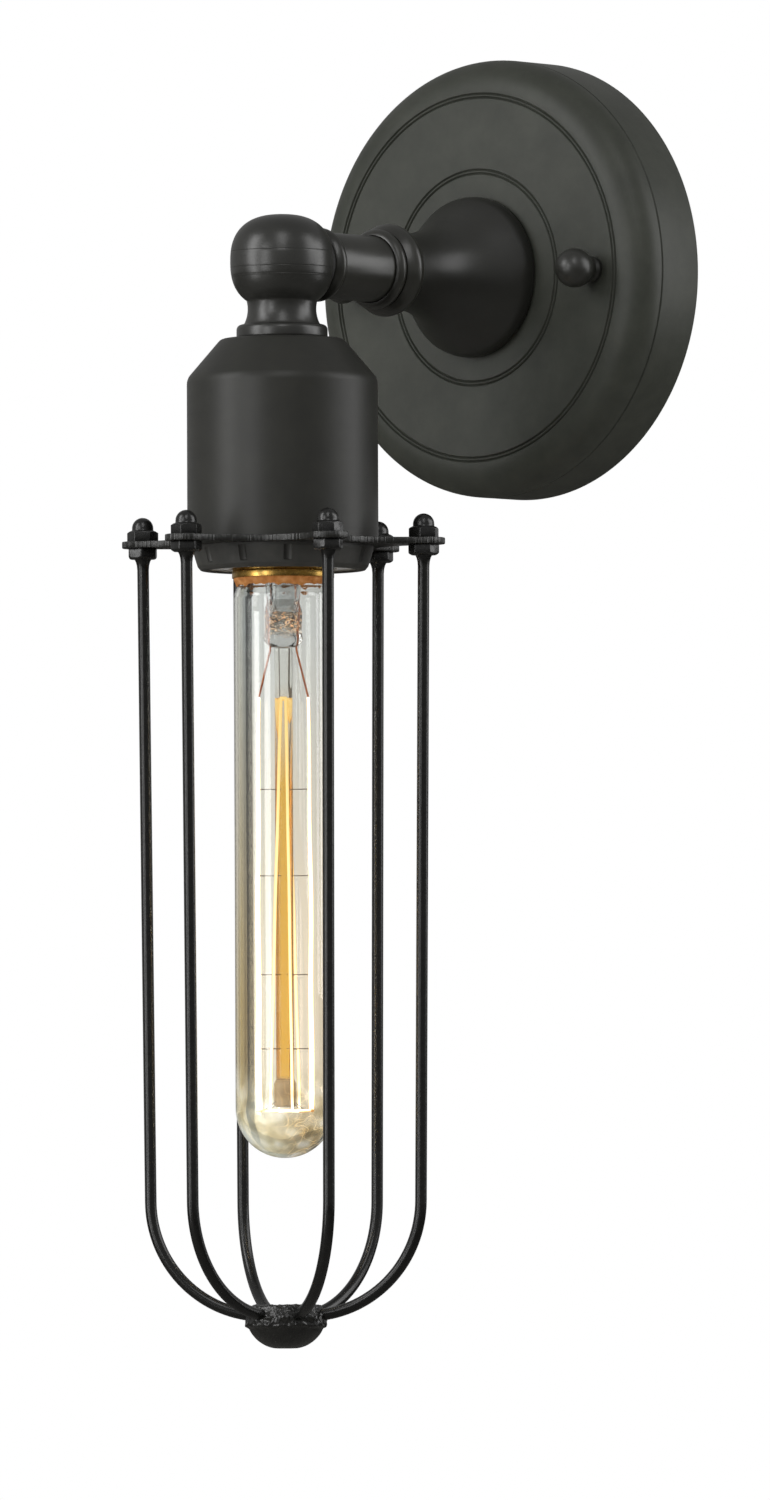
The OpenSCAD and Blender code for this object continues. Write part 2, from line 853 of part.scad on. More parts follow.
module cage_wire(i) {
    if (i < wires)
        color(satin_black)
            on_head()
                rotate(wire_angle(i)) {
                    wire_leg();
                    wire_bend(wire_d);
                }
}
module cage_wire_1() cage_wire(0);
module cage_wire_2() cage_wire(1);
module cage_wire_3() cage_wire(2);
module cage_wire_4() cage_wire(3);
module cage_wire_5() cage_wire(4);
module cage_wire_6() cage_wire(5);

// Chamfers for a nut: the space inside a drum with sloping ends
module nut_blank(af, h, low, high) {
    corner = af / 2 / cos(30);
    chamfer = 0.5;
    intersection() {
        cylinder(h = h, r = corner, $fn = 6);
        turned([
            [0, 0],
            [corner - (low ? chamfer * 1.6 : 0), 0],
            [corner + 0.01, low ? chamfer : 0],
            [corner + 0.01, high ? h - chamfer : h],
            [corner - (high ? chamfer * 1.6 : 0), h],
            [0, h]
        ]);
    }
}

module cage_hex_nuts() {
    bore_r = wire_d / 2 + 0.1;
    color(satin_black)
        on_head()
            at_wires()
                translate([cage_r, 0, spider_foot - cage_nut_h])
                    difference() {
                        nut_blank(cage_nut_af, cage_nut_h, true, false);
                        translate([0, 0, -over]) cylinder(h = cage_nut_h + 2 * over, r = bore_r, $fn = 24);
                    }
}

// Cap nuts: a hexagon under a blind dome
module cage_cap_nuts() {
    blind = wire_top - spider_top + 0.2;
    color(satin_black)
        on_head()
            at_wires()
                translate([cage_r, 0, spider_top])
                    difference() {
                        union() {
                            nut_blank(cage_nut_af, cage_nut_h, false, true);
                            translate([0, 0, cage_nut_h - 0.2]) cap_dome();
                        }
                        translate([0, 0, -over]) cylinder(h = blind + over, r = wire_d / 2 + 0.1, $fn = 24);
                    }
}

module cap_dome() {
    r = dome_d / 2;
    turned(concat(
        [[0, 0], [r, 0]],
        [for (a = [0:15:75]) [r * cos(a), dome_h + 0.2 - r + r * sin(a)]],
        [[0, dome_h + 0.2]]
    ));
}

// Hub: a button with a flat top and a bowl below, drilled for the six wires at their own slant
hub_mid = spider_top - cage_l;
hub_top = hub_mid + 3.4;
module cage_hub() {
    r = hub_d / 2;
    foot = hub_top - hub_h;
    rim = foot + 0.42 * hub_h;
    color(satin_black)
        on_head()
            difference() {
                turned(concat(
                    [[0, foot]],
                    [for (a = [15:15:75]) [r * sin(a), rim - (rim - foot) * cos(a)]],
                    rounded([
                        [r, rim, 0],
                        [r, hub_top - 3.7, 1.2],
                        [r - 1.4, hub_top, 0.9],
                        [0, hub_top, 0]
                    ])
                ));
                at_wires() wire_bend(wire_d + 2 * fit_gap);
            }
}

// Bulb shell: the brass screw base, rolled in at its top
base_r = base_d / 2;
base_t = 0.35;
eyelet_r = 4.8;
module bulb_shell() {
    color(brass_yellow)
        on_head()
            turned([
                [base_r - base_t, base_rim],
                [base_r, base_rim],
                [base_r, base_top - 3.6],
                [base_r - 3.5, base_top - 1.6],
                [base_r - 3.5 - base_t, base_top - 1.6],
                [base_r - base_t, base_top - 3.7]
            ]);
}

// Insulator: black glass between the shell and the tip
module bulb_insulator() {
    outer = base_r - 3.5 - base_t - 0.02;
    color(fibre_black)
        on_head()
            turned([
                [1, base_top - 3],
                [outer, base_top - 3],
                [outer, base_top - 1.5],
                [eyelet_r + 0.6, base_top - 0.2],
                [1, base_top - 0.2]
            ]);
}

module bulb_tip_contact() {
    color(zinc_grey)
        on_head()
            turned([
                [0, base_top - 0.2],
                [eyelet_r, base_top - 0.2],
                [eyelet_r - 0.6, base_top + 0.35],
                [eyelet_r - 1.8, tip_level],
                [0, tip_level]
            ]);
}

// Glass: a closed tube with a round end and a narrower neck in the base
glass_r = glass_d / 2;
neck_glass_r = glass_r - 1.1;
neck_top = base_rim + 11;
// Distances from the base's rim down to where the neck ends and the full tube starts
neck_drop = 1.6;
tube_drop = 4.4;
glass_foot = base_rim - glass_l;
module bulb_glass() {
    r_in = glass_r - glass_t;
    neck_in = neck_glass_r - glass_t;
    centre = glass_foot + glass_r;
    color(amber_glass)
        on_head()
            turned(concat(
                [[neck_glass_r, neck_top], [neck_glass_r, base_rim - neck_drop]],
                [[glass_r, base_rim - tube_drop]],
                [for (a = [0:10:80]) [glass_r * cos(a), centre - glass_r * sin(a)]],
                [[0, glass_foot], [0, glass_foot + glass_t]],
                [for (a = [80:-10:0]) [r_in * cos(a), centre - r_in * sin(a)]],
                [[r_in, base_rim - tube_drop - 0.2], [neck_in, base_rim - neck_drop - 0.3]],
                [[neck_in, neck_top]]
            ));
}

// Basing cement: the brown ring between the glass neck and the shell
cement_h = 9;
cement_out = 1.4;
module basing_cement() {
    outer = base_r - base_t - fit_gap;
    inner = neck_glass_r + fit_gap;
    color([0.72, 0.45, 0.22])
        on_head()
            turned([
                [inner, base_rim - cement_out],
                [inner + 0.5, base_rim - cement_out],
                [outer, base_rim - 0.3],
                [outer, base_rim + cement_h],
                [inner, base_rim + cement_h]
            ]);
}

// Stem: a flared glass tube, sealed to the neck, with a flat press at its foot
press_top = base_rim - press_drop;
press_foot = press_top - press_l;
press_t = 7.4;
stem_r = 5;
// How far the press and the filament's frame are turned about the upright axis
filament_turn = 41;
module glass_stem() {
    rim_r = neck_glass_r - glass_t - 0.1;
    press_h = press_top + 1.5 - press_foot;
    color(amber_glass)
        on_head()
            rotate(filament_turn)
                difference() {
                    union() {
                        turned([
                            [rim_r, neck_top],
                            [rim_r, neck_top - glass_t],
                            [stem_r, neck_top - 6],
                            [stem_r, press_top + 1],
                            [stem_r - glass_t, press_top + 1],
                            [stem_r - glass_t, neck_top - 5.4],
                            [rim_r - 1.2, neck_top]
                        ]);
                        translate([-stem_r, -press_t / 2, press_foot]) cube([2 * stem_r, press_t, press_h]);
                    }
                    for (side = [-1, 1])
                        translate([side * lead_at, 0, press_foot - over])
                            cylinder(h = press_h + 2 * over, r = lead_d / 2 + fit_gap, $fn = 16);
                }
}

// Rod: carries the supports, and ends in a button
rod_foot = glass_foot + button_gap + button_h;
module glass_rod() {
    color([0.85, 0.62, 0.25, 0.7])
        on_head()
            turned(rounded([
                [0, press_foot, 0],
                [rod_d / 2, press_foot, 0],
                [rod_d / 2, rod_foot, 0],
                [rod_d / 2 + 0.6, rod_foot - 0.8, 0.3],
                [rod_d / 2 + 0.6, rod_foot - button_h, 0.8],
                [0, rod_foot - button_h, 0]
            ]));
}

// Lead wires: up through the press to the base, and down to two of the filament's four hangers
lead_d = 0.6;
lead_at = 3.3;
strand_top = press_foot - strand_drop;
strand_foot = rod_foot - button_h - 0.9;
strand_r = strand_circle_d / 2;
lead_r = strand_r - 1;
module lead_wires() {
    color([0.80, 0.45, 0.28])
        on_head()
            rotate(filament_turn)
                for (side = [-1, 1]) {
                    bend = [side * lead_at, 0, press_foot - 0.4];
                    bar([side * lead_r, 0, strand_top], bend, lead_d);
                    translate(bend) sphere(d = lead_d + 0.08, $fn = 24);
                    bar(bend, [side * lead_at, 0, base_top - 3.05], lead_d);
                }
}

// Filament: eight long strands in four loops, hung from the two leads and two hooks
strand_shift = -7.5;
strand_gap = 1.2;
hook_r = rod_d / 2 + 1.2;
loop_d = filament_d + 0.12;
loop_past = 0.35;
function on_circle(r, a, z) = [r * cos(a), r * sin(a), z];
function strand_foot_at(k) = on_circle(strand_r, strand_shift + 360 / strands * (k + 0.5), strand_foot);
function hanger_at(quarter) =
    on_circle(quarter % 2 == 0 ? lead_r : hook_r, 90 * quarter, strand_top - loop_d / 2 - 0.1);
function strand_top_at(k) =
    let (quarter = floor((k + 1) / 2) % 4, side = k % 2 == 0 ? 1 : -1)
    hanger_at(quarter) + side * strand_gap / 2 * [-sin(90 * quarter), cos(90 * quarter), 0];

module filament() {
    color([1.0, 0.80, 0.35])
        on_head()
            rotate(filament_turn) {
                for (k = [0:strands - 1])
                    bar(strand_top_at(k), strand_foot_at(k), filament_d);
                for (k = [0:2:strands - 1]) {
                    loop_end(strand_foot_at(k), strand_foot_at(k + 1));
                    loop_end(strand_top_at(k + 1), strand_top_at((k + 2) % strands));
                }
            }
}

// The short level piece that joins two strands
module loop_end(a, b) {
    past = unit(b - a) * loop_past;
    bar(a - past, b + past, loop_d);
}

// Supports: two hooks from the press, and spokes from the rod out to the strands
spoke_d = 0.25;
spoke_levels = [0.22, 0.43, 0.67, 0.85];
module filament_supports() {
    color([0.55, 0.50, 0.45])
        on_head()
            rotate(filament_turn) {
                for (side = [-1, 1])
                    bar(
                        [0, side * hook_r, strand_top - 0.03],
                        [0, side * (rod_d / 2 + 0.8), press_foot - 0.03],
                        spoke_d
                    );
                for (level = spoke_levels, k = [0:strands - 1])
                    spoke(strand_top_at(k) * (1 - level) + strand_foot_at(k) * level);
                for (k = [0:2:strands - 1])
                    foot_spoke((strand_foot_at(k) + strand_foot_at(k + 1)) / 2);
            }
}

// A level spoke from the rod to a point on a strand
module spoke(at) {
    level = [0, 0, at.z];
    out = unit(at - level);
    bar(level + out * (rod_d / 2 + 0.02), at - out * (filament_d / 2 + 0.05), spoke_d);
}

// A sloping spoke from the rod's button to the middle of a foot loop
module foot_spoke(at) {
    level = [0, 0, at.z];
    out = unit(at - level);
    bar(level + [0, 0, 2.4] + out * (rod_d / 2 + 0.72), at + [0, 0, loop_d / 2 + 0.2] - out * 0.2, spoke_d);
}

backplate();
mounting_strap();
mounting_studs();
stud_lock_nuts();
ball_nuts();
earthing_screw();
arm_nipple();
nipple_washer();
nipple_lock_nut();
arm_bell();
arm_collar();
arm_tube();
arm_flange();
friction_washer();
swivel_nipple();
spring_washer();
round_lock_nut();
swivel_ball();
cup_nipple();
cup_lock_nut();
socket_cup();
lampholder_cap();
lampholder_body();
screw_shell();
centre_contact();
terminal_screws();
retaining_ring();
cage_spider();
cage_wire_1();
cage_wire_2();
cage_wire_3();
cage_wire_4();
cage_wire_5();
cage_wire_6();
cage_hex_nuts();
cage_cap_nuts();
cage_hub();
bulb_shell();
bulb_insulator();
bulb_tip_contact();
basing_cement();
bulb_glass();
glass_stem();
glass_rod();
lead_wires();
filament_supports();
filament();
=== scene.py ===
# %% [markdown]
# # A wall sconce with a swivel head and a wire cage
#
# The sconce is a domed steel backplate, a short turned arm, a swivel ball, a spun cup and a
# cage of six bent wires round a long tubular filament bulb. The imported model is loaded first
# and gives the main sizes and places. Nearly every piece that shows is then turned, bent or
# cut again here, with its real edges, threads and flaws, and stands for its plain node.

# %% Load the frame
import math
import random

import bpy
from mathutils import Matrix, Vector


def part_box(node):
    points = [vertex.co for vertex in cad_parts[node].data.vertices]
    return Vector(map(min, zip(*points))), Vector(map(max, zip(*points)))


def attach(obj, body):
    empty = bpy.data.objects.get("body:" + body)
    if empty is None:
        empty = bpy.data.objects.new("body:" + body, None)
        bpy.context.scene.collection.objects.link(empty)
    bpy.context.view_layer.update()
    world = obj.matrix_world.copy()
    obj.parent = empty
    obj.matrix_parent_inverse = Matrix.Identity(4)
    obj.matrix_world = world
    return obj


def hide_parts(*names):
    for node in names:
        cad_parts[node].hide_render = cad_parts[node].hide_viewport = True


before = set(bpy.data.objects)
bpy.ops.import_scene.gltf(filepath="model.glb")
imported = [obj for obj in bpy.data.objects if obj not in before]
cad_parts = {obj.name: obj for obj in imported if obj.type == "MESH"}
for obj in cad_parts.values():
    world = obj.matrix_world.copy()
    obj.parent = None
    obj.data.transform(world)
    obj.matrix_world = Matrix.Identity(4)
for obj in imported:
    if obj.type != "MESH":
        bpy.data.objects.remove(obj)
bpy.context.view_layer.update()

print("nodes:", len(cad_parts))

# %% [markdown]
# ## Sizes read from the frame
#
# The workshop unit is the millimetre, and Blender's is the metre. The boxes of the nodes give
# radii and stations, so most changes of size in the model move the pieces made here too.
# The arm lies along -Y, so its stations are distances from the wall. The head hangs along
# -Z, so its stations are heights above the arm's axis.

# %% Sizes
MM = 0.001


def low(node, axis):
    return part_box(node)[0]["xyz".index(axis)] / MM


def high(node, axis):
    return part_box(node)[1]["xyz".index(axis)] / MM


def back(node):
    """How far from the wall a node begins."""
    return -high(node, "y")


def front(node):
    """How far from the wall a node ends."""
    return -low(node, "y")


def radius(node):
    return (high(node, "x") - low(node, "x")) / 2


REACH = -(low("socket_cup", "y") + high("socket_cup", "y")) / 2
FACE = front("backplate")
CUP_TOP = high("socket_cup", "z")
CUP_FOOT = low("socket_cup", "z")
SPIDER_FOOT = low("cage_spider", "z")
RING_FOOT = low("retaining_ring", "z")
BASE_RIM = low("bulb_shell", "z")
BASE_TOP = high("bulb_shell", "z")
WIRE_R = 1.5
WIRE_ANGLES = (30, 90, 150, 210, 270, 330)
CAGE_R = 36.8
PASSAGE_R = 5.05
print("reach %.1f mm, face %.1f mm, cup foot %.1f mm" % (REACH, FACE, CUP_FOOT))

# %% [markdown]
# ## Camera
#
# The photograph is taken from the right of the sconce and a little below it, from far away
# with a long lens, so that uprights stay upright and the plate is a narrow ellipse. The
# camera stands where the two axes and the plate's ellipse fall on their places in the photo.

# %% Camera
camera_data = bpy.data.cameras.new("photo_camera")
camera_data.lens = 333.8
camera_data.sensor_width = 36
camera_data.clip_end = 100
camera = bpy.data.objects.new("photo_camera", camera_data)
camera.location = (2.3775, -2.7474, -0.2722)
camera.rotation_euler = (math.radians(92.361), math.radians(0.25), math.radians(41.498))
bpy.context.scene.collection.objects.link(camera)
bpy.context.scene.camera = camera
bpy.context.scene.view_settings.view_transform = "Standard"
TO_CAMERA = Vector((0.663, -0.749, 0))
TO_RIGHT = Vector((0.749, 0.663, 0))
print("camera is %.2f m from the origin" % camera.location.length)

# %% [markdown]
# ## Colours and nodes
#
# Colours are chosen on a screen, so they are written as sRGB hex values, and one function
# turns them into the linear numbers that shaders use. Another small function adds a node
# with its settings and links, and returns the output that the next node needs. A Mix node
# of colours takes its share at input 0 and its two colours at 6 and 7, and its result is
# output 2. Nearly all patterns are noise, whose scale is worked out from a size in mm.

# %% Colours and nodes


def linear(colour):
    parts = [int(colour[i:i + 2], 16) / 255 for i in (1, 3, 5)]
    return [c / 12.92 if c <= 0.04045 else ((c + 0.055) / 1.055) ** 2.4 for c in parts] + [1]


def add(material, kind, inputs, output=0, stops=(), **settings):
    """Adds a node. An input is a value or another node's output. Stops are a colour ramp's."""
    node = material.node_tree.nodes.new("ShaderNode" + kind)
    for name, value in settings.items():
        setattr(node, name, value)
    for key, value in inputs.items():
        if isinstance(value, bpy.types.NodeSocket):
            material.node_tree.links.new(value, node.inputs[key])
        else:
            node.inputs[key].default_value = value
    if stops:
        elements = node.color_ramp.elements
        while len(elements) < len(stops):
            elements.new(0.5)
        for element, (position, colour) in zip(elements, stops):
            element.position = position
            element.color = linear(colour)
    return node.outputs[output] if node.outputs else None


# %% Materials and patterns


def new_material(name):
    material = bpy.data.materials.new(name)
    material.use_nodes = True
    material.node_tree.nodes.clear()
    print("finish:", name)
    return material


def spots(material, size_mm, detail=2, stretch=(1, 1, 1), roughness=0.5):
    """Noise whose lumps are about size_mm across, from the Object coordinates."""
    place = add(material, "TexCoord", {}, "Object")
    scaled = add(material, "Mapping", {"Vector": place, "Scale": stretch})
    return add(material, "TexNoise", {
        "Vector": scaled, "Scale": 1 / (size_mm * MM), "Detail": detail, "Roughness": roughness})


def height_at(material):
    """The height of the point in metres, from the Object coordinates."""
    return add(material, "SeparateXYZ", {0: add(material, "TexCoord", {}, "Object")}, "Z")


# %% [markdown]
# ## Black finishes
#
# The backplate is spun steel with a powder coat: very matt, with a fine grain that
# breaks the light up, and faint blotches. The arm, ball and cup are turned and spun steel
# under a thinner satin black, so the fine rings of the lathe show in the highlights. The
# cage is drawn wire dipped in a glossier black, thick and a little uneven. All of them have
# the same layout, so one function makes it, and a small one says what each coat is like.

# %% One layout for the opaque finishes


def opaque(material, tone, colours, wear, rough, relief, more):
    """Colours follow the pattern tone, roughness the pattern wear. relief lists bumps in mm."""
    inputs = {
        "Base Color": add(material, "ValToRGB", {"Fac": tone}, stops=colours),
        "Roughness": add(material, "MapRange", {"Value": wear, "To Min": rough[0], "To Max": rough[1]}),
        **more}
    under = {}
    for height, deep_mm in relief:
        under["Normal"] = add(material, "Bump", {"Height": height, "Distance": deep_mm * MM, **under})
    add(material, "OutputMaterial", {"Surface": add(material, "BsdfPrincipled", {**inputs, **under})})
    return material


# %% Powder-coated steel
PLATE_BLACK = new_material("powder_coated_steel")
blotches = spots(PLATE_BLACK, 9, detail=4, roughness=0.62)
orange_peel = spots(PLATE_BLACK, 1.6)
grain = spots(PLATE_BLACK, 0.3, detail=1)
opaque(PLATE_BLACK, blotches, [(0.3, "#3b3d37"), (0.7, "#454740")], grain, (0.39, 0.51),
       [(orange_peel, 0.02), (grain, 0.012)], {"Specular IOR Level": 0.3})

# %% Satin black over turned steel


def turned_black(name, dark, light, rough, stretch, ring_mm, ring_deep_mm=0.012, gloss=0.6):
    """stretch squeezes the noise into rings round the piece's own axis."""
    material = new_material(name)
    blotches = spots(material, 7, detail=3)
    rings = spots(material, ring_mm, detail=3, stretch=stretch, roughness=0.7)
    grain = spots(material, 0.22, detail=1)
    return opaque(material, blotches, [(0.3, dark), (0.7, light)], rings, (rough - 0.04, rough + 0.05),
                  [(rings, ring_deep_mm), (grain, 0.003)], {"Specular IOR Level": gloss})


HEAD_RINGS = (0.02, 0.02, 1)
ARM_RINGS = (0.02, 1, 0.02)
BALL_BLACK = turned_black("satin_black_turned_ball", "#2a2a27", "#2e2e2b", 0.32, HEAD_RINGS, 0.35, 0.006)
CUP_BLACK = turned_black("satin_black_spun_cup", "#2e2e2b", "#33332f", 0.41, HEAD_RINGS, 0.9, gloss=0.32)
ARM_BLACK = turned_black("satin_black_turned_arm", "#2e2e2a", "#33332e", 0.3, ARM_RINGS, 0.4)
BELL_BLACK = turned_black("satin_black_spun_bell", "#292926", "#2e2e2a", 0.36, ARM_RINGS, 0.8)

# %% Dipped black wire and cast iron


def dipped_black(name, colour, edge, rough, lump_mm, lump_deep_mm, gloss=0.5, ridge_deep_mm=0.0,
                 smooth_below=None):
    """The ridges run along Z and show on upright cut edges. Below a height, the lumps fade."""
    material = new_material(name)
    lumps = spots(material, lump_mm, detail=3)
    specks = spots(material, 0.25, detail=1)
    ridges = spots(material, 0.9, detail=2, stretch=(1, 1, 0.05))
    relief = lumps
    if smooth_below is not None:
        share = add(material, "MapRange", {
            "Value": height_at(material), "From Min": smooth_below, "From Max": smooth_below + 1 * MM,
            "To Min": 0.08})
        relief = add(material, "Math", {0: lumps, 1: share}, operation="MULTIPLY")
    return opaque(material, lumps, [(0.35, colour), (0.75, edge)], specks, (rough - 0.06, rough + 0.1),
                  [(relief, lump_deep_mm), (specks, 0.003), (ridges, ridge_deep_mm)],
                  {"Specular IOR Level": gloss, "Coat Weight": 0.1, "Coat Roughness": 0.2})


BOWL_H = 5.4
bowl_top = (low("cage_hub", "z") + BOWL_H) * MM
WIRE_BLACK = dipped_black("dipped_black_iron_wire", "#131312", "#1b1b19", 0.23, 1.4, 0.03, gloss=0.4)
CAST_BLACK = dipped_black("dipped_black_cast_iron", "#181816", "#22221f", 0.23, 1.6, 0.05,
                          smooth_below=bowl_top)
CUT_BLACK = dipped_black("dipped_black_cut_plate", "#191917", "#23231f", 0.32, 0.9, 0.08, ridge_deep_mm=0.5)
NUT_BLACK = dipped_black("dipped_black_nuts", "#121211", "#1b1b19", 0.25, 1.1, 0.06)

# %% [markdown]
# ## Moulded, fired and plated finishes
#
# The retaining ring is moulded phenolic and dull. The lampholder is glazed porcelain with
# small waves in the glaze. Strap, studs and nipples are zinc-plated steel, cloudy and
# slightly blue. Terminals and the bulb's base are brass. The base is held to the glass by
# an orange-brown cement, which glows faintly here in place of the filament's own light.

# %% Phenolic, fibre, porcelain and black glass


def moulded(name, dark, light, rough, wave_mm, coat=0.0):
    material = new_material(name)
    waves = spots(material, wave_mm, detail=2)
    grit = spots(material, 0.2, detail=1)
    return opaque(material, waves, [(0.3, dark), (0.7, light)], grit, (rough - 0.05, rough + 0.08),
                  [(waves, 0.03)], {"Coat Weight": coat, "Coat Roughness": 0.05})


RING_BLACK = moulded("moulded_phenolic", "#3b3b38", "#464541", 0.5, 3)
FIBRE_BLACK = moulded("vulcanised_fibre", "#161615", "#1f1f1d", 0.7, 0.5)
PORCELAIN = moulded("glazed_porcelain", "#ddd7c8", "#e8e3d6", 0.22, 4, coat=0.6)
BLACK_GLASS = moulded("black_insulator_glass", "#0e0e14", "#1a1a22", 0.12, 2, coat=0.5)

# %% Zinc, brass, copper and solder


def plated(name, dark, light, rough, cloud_mm):
    """The clouded places are the duller ones, and fine scratches run along Z."""
    material = new_material(name)
    clouds = spots(material, cloud_mm, detail=4, roughness=0.65)
    scratches = spots(material, 0.25, detail=2, stretch=(1, 1, 0.08))
    return opaque(material, clouds, [(0.3, dark), (0.7, light)], clouds, (rough + 0.08, rough - 0.06),
                  [(scratches, 0.004)], {"Metallic": 1})


ZINC = plated("zinc_plated_steel", "#8f939a", "#b4b7bb", 0.34, 3)
BRASS = plated("drawn_brass", "#a8813c", "#d3ad62", 0.26, 2.5)
COPPER = plated("copper_coated_lead", "#8d4f31", "#bb7248", 0.35, 0.8)
SUPPORT = plated("molybdenum_wire", "#5d564d", "#857c70", 0.4, 0.8)
SOLDER = plated("tin_solder", "#86867f", "#adada6", 0.3, 1.2)

# %% Basing cement
CEMENT = new_material("basing_cement")
crumbs = spots(CEMENT, 0.5, detail=3, roughness=0.7)
patches = spots(CEMENT, 2.4, detail=2)
crust = add(CEMENT, "BsdfPrincipled", {
    "Base Color": add(CEMENT, "ValToRGB", {"Fac": patches}, stops=[
        (0.3, "#9a5f30"), (0.55, "#c58a50"), (0.75, "#dfae76")]),
    "Roughness": 0.85,
    "Emission Color": linear("#ff9a48"),
    "Emission Strength": 0.12,
    "Normal": add(CEMENT, "Bump", {"Height": crumbs, "Distance": 0.25 * MM})})
add(CEMENT, "OutputMaterial", {"Surface": crust})

# %% [markdown]
# ## Bulb glass
#
# The tube is thin blown glass, smoke-grey near the screw base and amber further down, where
# the filament's light is painted into it. Towards its edges the wall is seen at a slant, so
# the glass is more tinted there, as Layer Weight gives; the light and dark bands of that ramp
# are painted reflections of the studio. This banded colour lies on the tube's left side only,
# as painted shade, which a dot product of the Object coordinates gives. A plain glass shader
# would block the lamps' light, so shadow rays pass straight through it.

# %% Smoke and amber
TINTED_GLASS_PAINTED_LIGHT = new_material("blown_tinted_glass_painted_light")
SMOKE_FOOT, AMBER_TOP = -0.095, -0.190
height = height_at(TINTED_GLASS_PAINTED_LIGHT)
down = add(TINTED_GLASS_PAINTED_LIGHT, "MapRange", {"Value": height, "From Min": SMOKE_FOOT, "From Max": AMBER_TOP})
facing = add(TINTED_GLASS_PAINTED_LIGHT, "LayerWeight", {}, "Facing")
# The two ramps darken the wall towards its edges, partly as the tint of the slanting wall and partly as
# painted reflections: their light and dark bands stand for the studio.
upper = add(TINTED_GLASS_PAINTED_LIGHT, "ValToRGB", {"Fac": facing}, stops=[
    (0.0, "#e4e6e4"), (0.24, "#e4e6e4"), (0.36, "#a0a4a3"), (0.48, "#a0a4a1"), (0.56, "#e0e0d8"),
    (0.66, "#bcbcb0"), (0.80, "#6c6c66")])
lower = add(TINTED_GLASS_PAINTED_LIGHT, "ValToRGB", {"Fac": facing}, stops=[
    (0.0, "#faf6ec"), (0.24, "#f4ecd4"), (0.36, "#94866a"), (0.48, "#8c7d5e"), (0.56, "#d4c498"),
    (0.66, "#a89668"), (0.80, "#5c4c2c")])
slant_tint_and_painted_bands = add(TINTED_GLASS_PAINTED_LIGHT, "Mix", {0: down, 6: upper, 7: lower}, 2, data_type="RGBA")
streaks = spots(TINTED_GLASS_PAINTED_LIGHT, 1.6, detail=2, stretch=(1, 1, 0.01))
streaked = add(TINTED_GLASS_PAINTED_LIGHT, "MapRange", {"Value": streaks, "From Min": 0.45, "From Max": 0.75, "To Max": 0.35})
slant_tint_and_painted_bands = add(TINTED_GLASS_PAINTED_LIGHT, "Mix", {0: streaked, 6: slant_tint_and_painted_bands, 7: linear("#e6e4dc")}, 2, data_type="RGBA")
clear = add(TINTED_GLASS_PAINTED_LIGHT, "Mix", {0: down, 6: linear("#dddedb"), 7: linear("#f4ecde")}, 2, data_type="RGBA")
# The left side of the tube, away from TO_RIGHT, gets the banded colour as painted shade and the dome's
# painted haze; the right side stays nearly clear.
across = add(TINTED_GLASS_PAINTED_LIGHT, "VectorMath", {
    0: add(TINTED_GLASS_PAINTED_LIGHT, "TexCoord", {}, "Object"), 1: -TO_RIGHT}, "Value", operation="DOT_PRODUCT")
AXIS_ACROSS = TO_RIGHT.y * REACH * MM
painted_left_side = add(TINTED_GLASS_PAINTED_LIGHT, "MapRange", {
    "Value": across, "From Min": AXIS_ACROSS - 4 * MM, "From Max": AXIS_ACROSS + 4 * MM, "To Min": 0.15})
wall_colour_and_painted_shade = add(TINTED_GLASS_PAINTED_LIGHT, "Mix", {0: painted_left_side, 6: clear, 7: slant_tint_and_painted_bands}, 2, data_type="RGBA")

# %% [markdown]
# ## Round end of the bulb
#
# In the dome the photograph shows swirls of tan, small bright loops and a pale haze at the
# left. On the real bulb they are reflections of the filament and of the studio. Those would
# need the studio itself, so here they are patterns that glow faintly. Two wavy bumps bend
# what is seen through the glass: a strong one in the dome and a weak one all along.

# %% Dome and shader
DOME_TOP, DOME_FOOT = -0.205, -0.222
HAZE_GLOW = 0.4
in_dome = add(TINTED_GLASS_PAINTED_LIGHT, "MapRange", {"Value": height, "From Min": DOME_TOP, "From Max": DOME_FOOT})
swirls = add(TINTED_GLASS_PAINTED_LIGHT, "ValToRGB", {"Fac": spots(TINTED_GLASS_PAINTED_LIGHT, 5, detail=1)}, stops=[
    (0.4, "#a89668"), (0.5, "#dcd2b4"), (0.62, "#f6f4ee")])
swirled = add(TINTED_GLASS_PAINTED_LIGHT, "Math", {0: in_dome, 1: 0.7}, operation="MULTIPLY")
loops = add(TINTED_GLASS_PAINTED_LIGHT, "ValToRGB", {"Fac": spots(TINTED_GLASS_PAINTED_LIGHT, 4, detail=0)}, stops=[
    (0.5, "#000000"), (0.508, "#ffc878"), (0.516, "#ffe8b8"), (0.524, "#000000")])
ripples = add(TINTED_GLASS_PAINTED_LIGHT, "Bump", {
    "Height": spots(TINTED_GLASS_PAINTED_LIGHT, 14, detail=1, stretch=(1, 1, 0.15)), "Distance": 0.05 * MM})
dents = add(TINTED_GLASS_PAINTED_LIGHT, "Math", {0: spots(TINTED_GLASS_PAINTED_LIGHT, 6, detail=0), 1: in_dome}, operation="MULTIPLY")
blown = add(TINTED_GLASS_PAINTED_LIGHT, "BsdfPrincipled", {
    "Base Color": add(TINTED_GLASS_PAINTED_LIGHT, "Mix", {0: swirled, 6: wall_colour_and_painted_shade, 7: swirls}, 2, data_type="RGBA"),
    "Roughness": 0.0,
    "IOR": 1.5,
    "Specular IOR Level": 0.35,
    "Transmission Weight": 1,
    "Emission Color": add(TINTED_GLASS_PAINTED_LIGHT, "Mix", {0: painted_left_side, 6: loops, 7: linear("#8a8e88")}, 2, data_type="RGBA"),
    "Emission Strength": add(TINTED_GLASS_PAINTED_LIGHT, "Math", {0: in_dome, 1: HAZE_GLOW}, operation="MULTIPLY"),
    "Normal": add(TINTED_GLASS_PAINTED_LIGHT, "Bump", {"Height": dents, "Distance": 0.35 * MM, "Normal": ripples})})


